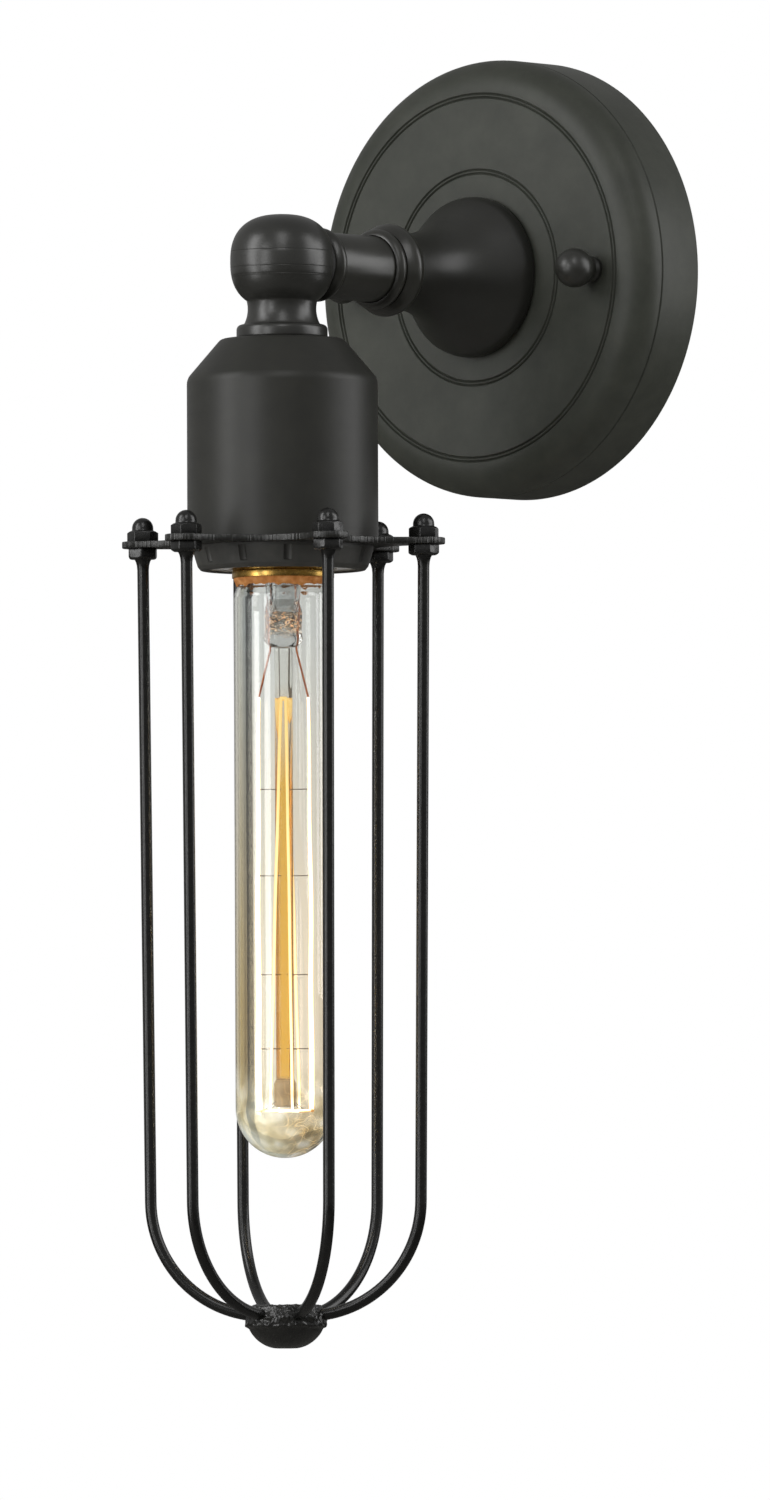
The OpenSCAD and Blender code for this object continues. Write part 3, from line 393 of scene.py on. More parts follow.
def through_shadows(material, shader):
    """Shadow rays pass the glass, so that it doesn't darken what is inside."""
    add(material, "OutputMaterial", {"Surface": add(material, "MixShader", {
        0: add(material, "LightPath", {}, "Is Shadow Ray"), 1: shader,
        2: add(material, "BsdfTransparent", {})})})


through_shadows(TINTED_GLASS_PAINTED_LIGHT, blown)

# %% [markdown]
# ## Stem, rod and filament
#
# The stem's lead glass is clear. At its press the wires are twisted together, and their glints
# are painted into the glass: black, white and gold flecks, as painted highlights and
# reflections, with a glow of their own in the gold. The rod catches the filament's light, so it
# is amber where the filament is, and its button is cloudy. The filament is a hot strand:
# white where it hangs from the leads, yellow where it hangs from hooks, as an attribute on
# its points says, and darker towards its edges, where the coil is seen from the side.

# %% Stem glass
STEM_GLASS = new_material("lead_glass_stem")
PRESS_TOP = (BASE_RIM - 10) * MM
PRESS_FOOT = (BASE_RIM - 12.5) * MM
stem_height = height_at(STEM_GLASS)
at_press = add(STEM_GLASS, "Math", {
    0: add(STEM_GLASS, "MapRange", {
        "Value": stem_height, "From Min": PRESS_TOP + 2 * MM, "From Max": PRESS_TOP}),
    1: add(STEM_GLASS, "MapRange", {
        "Value": stem_height, "From Min": PRESS_FOOT, "From Max": PRESS_FOOT - 3 * MM, "To Min": 1,
        "To Max": 0})}, operation="MULTIPLY")
knots = spots(STEM_GLASS, 1.5, detail=2, stretch=(1, 1, 1.6))
# Painted glints: gold flecks in the press that also glow, standing for light caught on the twisted wires.
glints = add(STEM_GLASS, "ValToRGB", {"Fac": knots}, stops=[
    (0.55, "#000000"), (0.58, "#ff9a3c"), (0.605, "#ffe2a8"), (0.63, "#000000")])
# Painted glints and dark reflections: white and black flecks in the colour of the press.
twist_and_painted_glints = add(STEM_GLASS, "ValToRGB", {"Fac": knots}, stops=[
    (0.38, "#f4f2ec"), (0.44, "#1c1712"), (0.50, "#b8a888"), (0.7, "#ffffff")])
uneven = add(STEM_GLASS, "Bump", {"Height": spots(STEM_GLASS, 1.2, detail=1), "Distance": 0.06 * MM})
knotted = add(STEM_GLASS, "Math", {0: knots, 1: at_press}, operation="MULTIPLY")
pressed = add(STEM_GLASS, "BsdfPrincipled", {
    "Base Color": add(STEM_GLASS, "Mix", {0: at_press, 6: linear("#e2e4e4"), 7: twist_and_painted_glints}, 2, data_type="RGBA"),
    "Roughness": 0.03,
    "IOR": 1.5,
    "Transmission Weight": 1,
    "Emission Color": glints,
    "Emission Strength": add(STEM_GLASS, "Math", {0: at_press, 1: 0.7}, operation="MULTIPLY"),
    "Normal": add(STEM_GLASS, "Bump", {"Height": knotted, "Distance": 0.7 * MM, "Normal": uneven})})
through_shadows(STEM_GLASS, pressed)

# %% Rod glass
ROD_GLASS = new_material("amber_lit_rod_glass")
LIT_TOP, LIT_FOOT = -0.108, -0.135
BUTTON_TOP, BUTTON_FOOT = -0.2088, -0.2102
rod_height = height_at(ROD_GLASS)
lit = add(ROD_GLASS, "MapRange", {"Value": rod_height, "From Min": LIT_TOP, "From Max": LIT_FOOT})
button = add(ROD_GLASS, "MapRange", {"Value": rod_height, "From Min": BUTTON_TOP, "From Max": BUTTON_FOOT})
amber = add(ROD_GLASS, "ValToRGB", {"Fac": add(ROD_GLASS, "LayerWeight", {}, "Facing")}, stops=[
    (0.05, "#ecc254"), (0.22, "#bc8834"), (0.5, "#7c5622")])
gold = add(ROD_GLASS, "Mix", {0: lit, 6: linear("#f8f8f5"), 7: amber}, 2, data_type="RGBA")
rod_glow = add(ROD_GLASS, "MapRange", {"Value": button, "To Min": 0.06, "To Max": 0.02})
drawn_out = spots(ROD_GLASS, 1.2, detail=1, stretch=(1, 1, 0.2))
drawn = add(ROD_GLASS, "BsdfPrincipled", {
    "Base Color": add(ROD_GLASS, "Mix", {0: button, 6: gold, 7: linear("#a08a66")}, 2, data_type="RGBA"),
    "Roughness": add(ROD_GLASS, "MapRange", {"Value": button, "To Min": 0.03, "To Max": 0.35}),
    "IOR": add(ROD_GLASS, "MapRange", {"Value": lit, "To Min": 1.08, "To Max": 1.4}),
    "Transmission Weight": add(ROD_GLASS, "MapRange", {"Value": button, "To Min": 1, "To Max": 0.25}),
    "Emission Color": linear("#ffbe2e"),
    "Emission Strength": add(ROD_GLASS, "Math", {0: rod_glow, 1: lit}, operation="MULTIPLY"),
    "Normal": add(ROD_GLASS, "Bump", {"Height": drawn_out, "Distance": 0.08 * MM})})
through_shadows(ROD_GLASS, drawn)

# %% Glowing filament
GLOW = new_material("glowing_carbon_filament")
HOOK_HEAT = 0.35
heat = add(GLOW, "Attribute", {}, "Fac", attribute_name="strand_glow")
side_on = add(GLOW, "LayerWeight", {}, "Facing")
white_hot = add(GLOW, "ValToRGB", {"Fac": side_on}, stops=[
    (0.25, "#fffaf0"), (0.5, "#d8b070"), (0.8, "#9c6f31")])
yellow_hot = add(GLOW, "ValToRGB", {"Fac": side_on}, stops=[
    (0.3, "#ffe08a"), (0.65, "#f4b83c"), (0.95, "#c08424")])
whiteness = add(GLOW, "MapRange", {"Value": heat, "From Min": HOOK_HEAT})
strand = add(GLOW, "BsdfPrincipled", {
    "Base Color": add(GLOW, "ValToRGB", {"Fac": spots(GLOW, 0.5, detail=1)}, stops=[
        (0.3, "#6b4a22"), (0.7, "#8a6230")]),
    "Roughness": 0.6,
    "Emission Color": add(GLOW, "Mix", {0: whiteness, 6: yellow_hot, 7: white_hot}, 2, data_type="RGBA"),
    "Emission Strength": add(GLOW, "MapRange", {
        "Value": heat, "From Min": HOOK_HEAT, "To Min": 1.1, "To Max": 2.6})})
add(GLOW, "OutputMaterial", {"Surface": strand})

# %% [markdown]
# ## Shaping helpers
#
# Nearly every piece is turned on a lathe, so one helper turns an outline: a plane is merged
# to a point, the point is extruded along the outline, and the line is spun round. Pieces are
# made standing on the world's origin along Z and are then carried to their place.

# %% Selection and modifiers


def clear_selection():
    if bpy.context.object and bpy.context.object.mode != "OBJECT":
        bpy.ops.object.mode_set(mode="OBJECT")
    bpy.ops.object.select_all(action="DESELECT")


def pick(piece):
    clear_selection()
    piece.select_set(True)
    bpy.context.view_layer.objects.active = piece


def modify(piece, kind, **settings):
    """Adds a modifier and applies it."""
    pick(piece)
    bpy.ops.object.modifier_add(type=kind)
    modifier = piece.modifiers[-1]
    for name, value in settings.items():
        setattr(modifier, name, value)
    bpy.ops.object.modifier_apply(modifier=modifier.name)


def soften(piece, width_mm, segments=2, angle=35):
    modify(piece, "BEVEL", width=width_mm * MM, segments=segments, limit_method="ANGLE",
           angle_limit=math.radians(angle), harden_normals=False)


def carve(piece, tool):
    """Cuts one piece out of another with a Boolean and throws the tool away."""
    modify(piece, "BOOLEAN", object=tool, operation="DIFFERENCE", solver="EXACT")
    bpy.data.objects.remove(tool)


# %% Outlines


def bezier(points, count):
    """Points on a cubic curve with four control points."""
    curve = []
    for i in range(count + 1):
        t = i / count
        s = 1 - t
        weights = (s ** 3, 3 * s * s * t, 3 * s * t * t, t ** 3)
        curve.append(tuple(sum(w * p[k] for w, p in zip(weights, points)) for k in (0, 1)))
    return curve


def arc(middle, wide, tall, start, end, count):
    """Points on part of an ellipse round (radius, height), between two angles in degrees."""
    angles = [math.radians(start + (end - start) * i / count) for i in range(count + 1)]
    return [(middle[0] + wide * math.cos(a), middle[1] + tall * math.sin(a)) for a in angles]


def rounded(path, count=5):
    """A path of (x, y) or (x, y, corner radius) points, with its corners rounded."""
    outline = []
    for i, point in enumerate(path):
        if len(point) == 2:
            outline.append(tuple(point))
            continue
        corner = Vector(point[:2])
        back_way = (Vector(path[i - 1][:2]) - corner).normalized()
        on_way = (Vector(path[i + 1][:2]) - corner).normalized()
        half = back_way.angle(on_way) / 2
        middle = corner + (back_way + on_way).normalized() * point[2] / math.sin(half)
        start = corner + back_way * point[2] / math.tan(half) - middle
        end = corner + on_way * point[2] / math.tan(half) - middle
        for k in range(count + 1):
            spoke = start.slerp(end, k / count).normalized() * point[2]
            outline.append(tuple(middle + spoke))
    return outline


def bead(r, top, start, end, count=14):
    """Points on a bead that bulges from radius r to radius top between two stations."""
    return [(r + (top - r) * math.sin(math.pi * i / count), start + (end - start) * i / count)
            for i in range(count + 1)]


# %% Places


def turn_by(degrees, axis="Z"):
    return Matrix.Rotation(math.radians(degrees), 4, axis)


def shift(x, y, z):
    return Matrix.Translation((x * MM, y * MM, z * MM))


LAID = turn_by(90, "X")
HEAD = shift(0, -REACH, 0)


def carry(piece, place):
    """Moves a finished piece by a matrix, with the move put into its mesh."""
    pick(piece)
    piece.matrix_world = place
    bpy.ops.object.transform_apply(location=True, rotation=True, scale=True)
    return piece


# %% The lathe


def open_up(piece):
    """Goes into edit mode with all of the piece selected."""
    pick(piece)
    bpy.ops.object.mode_set(mode="EDIT")
    bpy.ops.mesh.select_all(action="SELECT")


def close_up():
    """Merges doubles, turns faces outwards and leaves edit mode."""
    bpy.ops.mesh.select_all(action="SELECT")
    bpy.ops.mesh.remove_doubles(threshold=0.0005 * MM)
    bpy.ops.mesh.normals_make_consistent(inside=False)
    bpy.ops.object.mode_set(mode="OBJECT")


def draw_line(name, points):
    """A chain of edges through points in mm, drawn by extruding one vertex."""
    clear_selection()
    bpy.ops.mesh.primitive_plane_add(size=MM)
    piece = bpy.context.object
    piece.name = name
    bpy.ops.object.mode_set(mode="EDIT")
    bpy.ops.mesh.merge(type="CENTER")
    bpy.ops.transform.translate(value=Vector(points[0]) * MM)
    for a, b in zip(points, points[1:]):
        bpy.ops.mesh.extrude_region_move(
            TRANSFORM_OT_translate={"value": (Vector(b) - Vector(a)) * MM})
    bpy.ops.mesh.select_all(action="SELECT")
    return piece


def turned(name, outline, place=None, count=96):
    """Turns an outline of (radius, height) points in mm about Z, then carries it."""
    piece = draw_line(name, [(r, 0, h) for r, h in outline])
    bpy.ops.mesh.spin(steps=count, angle=math.tau, center=(0, 0, 0), axis=(0, 0, 1))
    close_up()
    return carry(piece, place or HEAD)


# %% Cutting


def slice_off(piece, point_mm, way, fill=True):
    """Cuts away what lies beyond a plane."""
    open_up(piece)
    bpy.ops.mesh.bisect(plane_co=Vector(point_mm) * MM, plane_no=way, use_fill=fill,
                        clear_outer=True)
    close_up()


def cut_hexagon(piece, across_mm, turn):
    """Cuts six flats round a piece that still stands on the origin."""
    open_up(piece)
    for i in range(6):
        a = math.radians(turn) + math.tau * i / 6
        way = Vector((math.cos(a), math.sin(a), 0))
        bpy.ops.mesh.select_all(action="SELECT")
        bpy.ops.mesh.bisect(plane_co=way * across_mm / 2 * MM, plane_no=way,
                            use_fill=True, clear_outer=True)
    close_up()
    return piece


# %% Copying and joining


def copy_of(piece, name):
    pick(piece)
    bpy.ops.object.duplicate(linked=False)
    twin = bpy.context.object
    twin.name = name
    return twin


def joined(pieces, name):
    clear_selection()
    for piece in pieces:
        piece.select_set(True)
    bpy.context.view_layer.objects.active = pieces[0]
    bpy.ops.object.join()
    pieces[0].name = name
    return pieces[0]


def copied_round(piece, name, angles, place):
    """Copies of a piece that sits at the +X side, one at each angle. The first goes away."""
    twins = []
    for i, degrees in enumerate(angles):
        twin = copy_of(piece, "%s_%d" % (name, i + 1))
        twins.append(carry(twin, place @ turn_by(degrees)))
    bpy.data.objects.remove(piece)
    return twins


# %% Hand over a piece


def done(piece, body, material, node, angle=40):
    """Gives a piece its finish and its body, and hides the node that it stands for."""
    piece.data.materials.clear()
    piece.data.materials.append(material)
    pick(piece)
    bpy.ops.object.shade_smooth_by_angle(angle=math.radians(angle))
    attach(piece, body)
    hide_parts(node)
    print("%s: %d faces, stands for %s" % (piece.name, len(piece.data.polygons), node))


# %% [markdown]
# ## Backplate
#
# The plate is spun from sheet steel: a straight side, a crease where the tool changed
# direction, a round shoulder and a flat face with two engraved rings. Each ring is two fine
# lines side by side, with soft edges. The plate is turned as one closed outline, so that the
# open back shows its thickness.

# %% Backplate
plate_r = radius("backplate")
PLATE_WALL = 1.4
CREASE = 14.5
CREASE_WIDE = 0.7
CREASE_DEEP = 0.3
SHOULDER_R = 48.4
RINGS_R = (47.5, 27.65)
LINE_APART = 0.95
LINE_WIDE = 0.75
LINE_DEEP = 0.5


def plate_shoulder(side_r, start, end, count):
    """A quarter of an ellipse from the side up to the face."""
    return arc((SHOULDER_R, start), side_r - SHOULDER_R, end - start, 0, 90, count)


def engraved_line(middle, count=8):
    """A groove with the form of a cosine wave."""
    sides = [1 - 2 * i / count for i in range(count + 1)]
    return [(middle + t * LINE_WIDE / 2, FACE - LINE_DEEP * (1 + math.cos(math.pi * t)) / 2) for t in sides]


plate_outline = rounded([(plate_r - 0.5, 0), (plate_r, 0.3, 0.25), (plate_r, CREASE - CREASE_WIDE / 2)], 3)
plate_outline += [(plate_r - 0.18, CREASE - 0.12), (plate_r - CREASE_DEEP, CREASE),
                  (plate_r - 0.18, CREASE + 0.12)]
plate_outline += plate_shoulder(plate_r, CREASE + CREASE_WIDE / 2, FACE, 16)
for ring_r in RINGS_R:
    plate_outline += engraved_line(ring_r + LINE_APART / 2) + engraved_line(ring_r - LINE_APART / 2)
plate_outline += [(PASSAGE_R, FACE), (PASSAGE_R, FACE - PLATE_WALL)]
plate_outline += reversed(plate_shoulder(plate_r - PLATE_WALL, CREASE, FACE - PLATE_WALL, 12))
plate_outline += [(plate_r - PLATE_WALL, 0), plate_outline[0]]
backplate = turned("backplate_spun", plate_outline, LAID, 192)
done(backplate, "bracket", PLATE_BLACK, "backplate", angle=30)

# %% [markdown]
# ## Ball nuts
#
# Two turned ball nuts hold the plate on its studs. Each has a small foot where it meets the
# plate, a slight waist and a ball. One outline is turned at both studs, and the two pieces
# are joined, because they stand for one node.

# %% Ball nuts
STUD_R = 2.1
stud_x = high("mounting_studs", "x") - STUD_R
STUD_PLACES = [shift(side * stud_x, 0, 0) @ LAID for side in (-1, 1)]
BALL_NUT_R = 5.1
ball_middle = FACE + 7.1
nut_outline = [(0, FACE), (3.4, FACE)] + rounded([
    (3.4, FACE), (3.4, FACE + 1.0, 0.4), (2.9, FACE + 1.9, 0.6), (3.25, FACE + 3.1)], 3)
nut_outline += arc((0, ball_middle), BALL_NUT_R, BALL_NUT_R, -50, 90, 16)
nut_outline[-1] = (0, ball_middle + BALL_NUT_R)
ball_nuts = [turned("ball_nut", nut_outline, place, 64) for place in STUD_PLACES]
done(joined(ball_nuts, "ball_nuts_turned"), "bracket", BELL_BLACK, "ball_nuts")

# %% [markdown]
# ## Bell, collar, tube and flange
#
# The bell is a hollow trumpet with a rounded rim that rests on the plate. Its slim curve is
# one Bezier curve. The collar has a large and a small bead, and the tube drops into its
# counterbore with a fine dark gap. A narrow bead with a groove behind it closes the tube.

# %% Bell
bell_r = radius("arm_bell")
bell_end = front("arm_bell")
BELL_WALL = 2.4
NECK_R = 9.8
rim_top = FACE + 4
hollow_end = rim_top + 16


def bell_curve(inset, count):
    rise = bell_end - rim_top
    return bezier([(bell_r - 0.45 - inset, rim_top), (bell_r - 4.45 - inset, rim_top + 0.235 * rise),
                   (NECK_R - inset, rim_top + 0.45 * rise), (NECK_R - inset, bell_end)], count)


rim = [(bell_r - 1.35, FACE), (bell_r - 0.5, FACE + 0.25), (bell_r - 0.1, FACE + 0.8),
       (bell_r, FACE + 1.6), (bell_r - 0.12, FACE + 2.8)]
cavity = [p for p in bell_curve(BELL_WALL, 24) if p[1] < hollow_end]
bell_outline = rim + bell_curve(0, 28) + [(PASSAGE_R, bell_end), (PASSAGE_R, cavity[-1][1] + 0.5)]
bell_outline += list(reversed(cavity)) + [(cavity[0][0], FACE), rim[0]]
bell = turned("arm_bell_spun", bell_outline, LAID, 128)
done(bell, "bracket", BELL_BLACK, "arm_bell")

# %% Collar
collar_end = front("arm_collar")
split = bell_end + 0.66 * (collar_end - bell_end)
seat = back("arm_tube")
tube_r = radius("arm_tube")
BORE_R = 4.85
collar_outline = bead(10.0, radius("arm_collar"), bell_end, split, 16)
collar_outline += bead(9.55, 10.4, split, collar_end - 0.2, 10)
collar_outline += [(tube_r + 0.25, collar_end), (tube_r + 0.2, collar_end - 0.5),
                   (tube_r + 0.05, seat), (BORE_R, seat), (BORE_R, bell_end), collar_outline[0]]
collar = turned("arm_collar_turned", collar_outline, LAID)
done(collar, "bracket", ARM_BLACK, "arm_collar")

# %% Tube
tube_end = front("arm_tube")
TUBE_BORE_R = 6.6
tube_outline = rounded([(TUBE_BORE_R, seat), (tube_r, seat), (tube_r, tube_end, 0.2),
                        (TUBE_BORE_R, tube_end), (TUBE_BORE_R, seat)], 2)
tube_piece = turned("arm_tube_drawn", tube_outline, LAID)
done(tube_piece, "bracket", ARM_BLACK, "arm_tube")

# %% Flange
flange_front = front("arm_flange")
spigot_back = back("arm_flange")
flange_r = radius("arm_flange")
spigot_r = TUBE_BORE_R - 0.05
flange_outline = [(BORE_R, spigot_back), (spigot_r, spigot_back), (spigot_r, tube_end),
                  (tube_r - 0.1, tube_end), (tube_r - 0.1, tube_end + 0.25)]
flange_outline += bead(tube_r + 0.1, flange_r, tube_end + 0.3, flange_front - 0.6, 12)
flange_outline += [(tube_r - 0.2, flange_front - 0.3), (tube_r - 0.7, flange_front),
                   (BORE_R, flange_front), flange_outline[0]]
flange = turned("arm_flange_turned", flange_outline, LAID)
done(flange, "bracket", ARM_BLACK, "arm_flange")

# %% [markdown]
# ## Swivel ball
#
# The ball is a squashed sphere on a waisted neck with a bead below, all turned in one. Its
# outline is a superellipse, so its sides are fuller than a ball's. Three fine lines were
# left by the tool. The side towards the arm is cut flat for the friction washer.

# %% Swivel ball
ball_r = radius("swivel_ball")
ball_top = high("swivel_ball", "z")
FULLNESS = 0.8
BALL_END = -51
TOOL_LINES = (2.55, -1.68, -3.74)
TOOL_LINE_DEEP = 0.05
TOOL_LINE_WIDE = 0.18
WAIST_R = 8.65
BEAD_R = 11.7


def ball_point(degrees):
    c = math.cos(math.radians(degrees))
    s = math.sin(math.radians(degrees))
    return ball_r * max(c, 0) ** FULLNESS, ball_top * math.copysign(abs(s) ** FULLNESS, s)


ball_outline = [ball_point(90 - (90 - BALL_END) * i / 60) for i in range(61)]
ball_outline[0] = (0, ball_top)
marked = [ball_outline[0]]
for a, b in zip(ball_outline, ball_outline[1:]):
    for line in TOOL_LINES:
        if b[1] < line <= a[1]:
            t = (a[1] - line) / (a[1] - b[1])
            r = a[0] + (b[0] - a[0]) * t
            marked += [(r, line + TOOL_LINE_WIDE / 2), (r - TOOL_LINE_DEEP, line),
                       (r, line - TOOL_LINE_WIDE / 2)]
    marked.append(b)
ball_end = ball_outline[-1]
bead_top = CUP_TOP + 3.7
marked += bezier([(ball_end[0] - 0.1, ball_end[1] - 0.15), (WAIST_R, ball_end[1] - 1.8),
                  (WAIST_R, bead_top + 2.2), (9.8, bead_top)], 14)
marked += rounded([(9.9, bead_top), (BEAD_R, bead_top - 0.3, 1.3), (BEAD_R, CUP_TOP + 0.3, 0.8),
                   (BEAD_R - 0.4, CUP_TOP), (0, CUP_TOP)])
ball = turned("swivel_ball_turned", marked, Matrix(), 128)
slice_off(ball, (0, high("swivel_ball", "y") + REACH, 0), (0, 1, 0))
soften(ball, 0.25, 2, 45)
carry(ball, HEAD)
done(ball, "lantern", BALL_BLACK, "swivel_ball", angle=30)

# %% Friction washer
washer_front = front("friction_washer")
WASHER_R = 8.2
washer_outline = rounded([
    (PASSAGE_R, flange_front), (WASHER_R - 0.2, flange_front), (WASHER_R, flange_front + 0.3, 0.2),
    (WASHER_R, washer_front), (PASSAGE_R, washer_front), (PASSAGE_R, flange_front)], 2)
washer = turned("friction_washer_fibre", washer_outline, LAID)
done(washer, "lantern", FIBRE_BLACK, "friction_washer")

# %% [markdown]
# ## Socket cup
#
# The cup is spun from thin sheet over a former: a flat top, a sloping shoulder with a soft
# edge and a straight wall. Its open foot rests on the spider.

# %% Socket cup
cup_r = radius("socket_cup")
CUP_TOP_R = 15.7
CUP_WALL = 1.3
SLOPE_DROP = 10.3
SLOPE_INSET = 0.41


def cup_side(inset, count):
    """The outside of the cup, or its inside at an inset. The slope keeps its thickness."""
    drawn_in = inset * SLOPE_INSET
    return rounded([(PASSAGE_R, CUP_TOP - inset), (CUP_TOP_R - drawn_in, CUP_TOP - inset, 2.2),
                    (cup_r - inset, CUP_TOP - SLOPE_DROP - drawn_in, 3.8), (cup_r - inset, CUP_FOOT)], count)


cup_outline = cup_side(0, 10) + list(reversed(cup_side(CUP_WALL, 8)))
cup_outline.append(cup_outline[0])
cup = turned("socket_cup_spun", cup_outline, HEAD, 128)
done(cup, "lantern", CUP_BLACK, "socket_cup")

# %% [markdown]
# ## Retaining ring
#
# The ring screws onto the lampholder's skirt. It is moulded with a step under its top edge
# and shallow upright grooves for the fingers. The grooves are cut with a Boolean by small
# leaning rods, of which one is made and then copied round.

# %% Retaining ring
ring_r = radius("retaining_ring")
RING_BORE_R = 19.35
RIB_R = 1.15
RIB_H = 4.2
RIB_COUNT = 12
RIB_LEAN = 16
ring_outline = rounded([
    (RING_BORE_R, RING_FOOT), (RING_BORE_R, SPIDER_FOOT), (ring_r, SPIDER_FOOT),
    (ring_r, SPIDER_FOOT - 0.9, 0.5), (ring_r - 1.3, RING_FOOT + 1.0, 0.5), (ring_r - 2.1, RING_FOOT, 0.5),
    (RING_BORE_R + 0.35, RING_FOOT), (RING_BORE_R, RING_FOOT)], 6)
ring = turned("retaining_ring_moulded", ring_outline, Matrix(), 180)
clear_selection()
bpy.ops.mesh.primitive_cylinder_add(vertices=20, radius=RIB_R * MM, depth=RIB_H * MM)
cutter = bpy.context.object
soften(cutter, 0.3)
carry(cutter, shift(ring_r - 0.15, 0, RING_FOOT + 3.5) @ turn_by(RIB_LEAN, "Y"))
rib_angles = [(i + 0.5) * 360 / RIB_COUNT for i in range(RIB_COUNT)]
carve(ring, joined(copied_round(cutter, "rib_cutter", rib_angles, Matrix()), "rib_cutters"))
carry(ring, HEAD)
done(ring, "lantern", RING_BLACK, "retaining_ring", angle=32)

# %% [markdown]
# ## Spider
#
# The spider is a flat six-eared star cut from plate. Its cut edge is coarse, with upright
# ridges. So its outline is walked along ears and scallops, each point is nudged inwards a
# little, the face is filled and drawn down through its thickness, a Boolean cuts the hole
# for the lampholder, and the edge is bevelled.

# %% Sizes of the spider
EAR_R = 5.5
SCALLOP_R = 17.0
SCALLOP_AT = 43.3
EAR_STEPS = 17
SCALLOP_STEPS = 42
CUT_DEEP = 0.22
SPIDER_BORE_R = 19.55
spider_top = high("cage_spider", "z")
print("the spider is %.1f mm thick" % (spider_top - SPIDER_FOOT))

# %% The star's outline


def ray(degrees, length):
    a = math.radians(degrees)
    return Vector((length * math.cos(a), length * math.sin(a)))


def star_outline():
    """Ear arcs and scallop arcs by turns, in mm. A scallop meets an ear where circles cross."""
    points = []
    ear = Vector((CAGE_R, 0))
    meet = ray(30, SCALLOP_AT)
    gap = (meet - ear).length
    along = (gap ** 2 + EAR_R ** 2 - SCALLOP_R ** 2) / (2 * gap)
    aside = math.sqrt(EAR_R ** 2 - along ** 2)
    way = (meet - ear) / gap
    corner = ear + way * along + Vector((way.y, -way.x)) * aside
    ear_end = math.atan2(corner.y - ear.y, corner.x - ear.x)
    inner = corner - meet
    mirrored = Matrix.Rotation(math.tau / 6, 2) @ Vector((inner.x, -inner.y))
    start = math.atan2(inner.y, inner.x)
    end = math.atan2(mirrored.y, mirrored.x)
    while end > start:
        end -= math.tau
    for degrees in range(0, 360, 60):
        turn = Matrix.Rotation(math.radians(degrees), 2)
        for k in range(EAR_STEPS + 1):
            a = ear_end * (2 * k / EAR_STEPS - 1)
            points.append(turn @ (ear + EAR_R * Vector((math.cos(a), math.sin(a)))))
        for k in range(1, SCALLOP_STEPS):
            a = start + (end - start) * k / SCALLOP_STEPS
            points.append(turn @ (meet + SCALLOP_R * Vector((math.cos(a), math.sin(a)))))
    return points


random.seed(11)
star = []
for point in star_outline():
    nudge = 1 - random.uniform(0, CUT_DEEP) / point.length
    star.append((point.x * nudge, point.y * nudge, spider_top))
print("points round the star:", len(star))

# %% Spider
spider = draw_line("cage_spider_cut", star)
bpy.ops.mesh.edge_face_add()
bpy.ops.mesh.extrude_region_move(
    TRANSFORM_OT_translate={"value": (0, 0, -(spider_top - SPIDER_FOOT) * MM)})
close_up()
clear_selection()
bpy.ops.mesh.primitive_cylinder_add(
    vertices=96, radius=SPIDER_BORE_R * MM, depth=10 * MM, location=(0, 0, spider_top * MM))
carve(spider, bpy.context.object)
soften(spider, 0.22, 2, 50)
carry(spider, HEAD @ turn_by(WIRE_ANGLES[0]))
done(spider, "lantern", CUT_BLACK, "cage_spider", angle=30)

# %% [markdown]
# ## Cage wires
#
# Each wire is drawn iron rod with a straight leg and a bend at its foot. A round face is
# extruded down the leg and spun through the bend. A little cone of paint has gathered under
# each nut, where the wire was dipped. All six come from one wire, turned to its place.

# %% Wires
LEG = 169.5
BEND_R = 29.5
BEND = 86
LEAN = 0.5
wire_top = high("cage_wire_1", "z") - CUP_FOOT
nut_foot = low("cage_hex_nuts", "z")
paint_top = nut_foot - CUP_FOOT
clear_selection()
bpy.ops.mesh.primitive_circle_add(vertices=24, radius=WIRE_R * MM, fill_type="NGON",
                                  location=(0, 0, wire_top * MM))
wire = bpy.context.object
bpy.ops.object.transform_apply(location=True, rotation=True, scale=True)
open_up(wire)
at, size = wire_top, 1
for station, wide in ((paint_top, 1), (paint_top, 1.45), (paint_top - 0.7, 1.22), (paint_top - 1.6, 1.07),
                      (paint_top - 2.8, 1), (-LEG, 1)):
    bpy.ops.mesh.extrude_region_move(TRANSFORM_OT_translate={"value": (0, 0, (station - at) * MM)})
    bpy.ops.transform.resize(value=(wide / size, wide / size, 1), center_override=(0, 0, station * MM))
    at, size = station, wide
bpy.ops.mesh.spin(steps=32, angle=math.radians(BEND), center=(-BEND_R * MM, 0, -LEG * MM), axis=(0, -1, 0))
close_up()
carry(wire, shift(CAGE_R, 0, CUP_FOOT) @ turn_by(LEAN, "Y"))
for i, twin in enumerate(copied_round(wire, "cage_wire_bent", WIRE_ANGLES, HEAD)):
    done(twin, "lantern", WIRE_BLACK, "cage_wire_%d" % (i + 1))

# %% [markdown]
# ## Cage nuts
#
# A nut is turned first, with its chamfers, and then gets six flats. Below the spider there
# is a plain nut on each wire, above it a cap nut with a blind dome. Thick paint has rounded
# their edges. No two nuts of a ring stand at the same turn, as nobody lines them up.

# %% A nut on a wire
NUT_ACROSS = 7
NUT_CORNER_R = NUT_ACROSS / 2 / math.cos(math.radians(30))
CHAMFER_H = 0.55
CHAMFER_IN = 0.9
NUT_TURNS = (4, 22, 11, 37, 15, 29)


def chamfered(h, inwards):
    """The corner of a nut's blank, turned off towards the end face at height h."""
    return [(NUT_CORNER_R, h + CHAMFER_H * inwards), (NUT_CORNER_R - CHAMFER_IN, h)]


def nut_on_wire(name, outline, wire_angle, turn, edge_mm, height):
    nut = cut_hexagon(turned(name, outline, Matrix(), 48), NUT_ACROSS, turn)
    soften(nut, edge_mm, 3)
    spot = ray(wire_angle, CAGE_R)
    return carry(nut, shift(spot.x, spot.y - REACH, height))


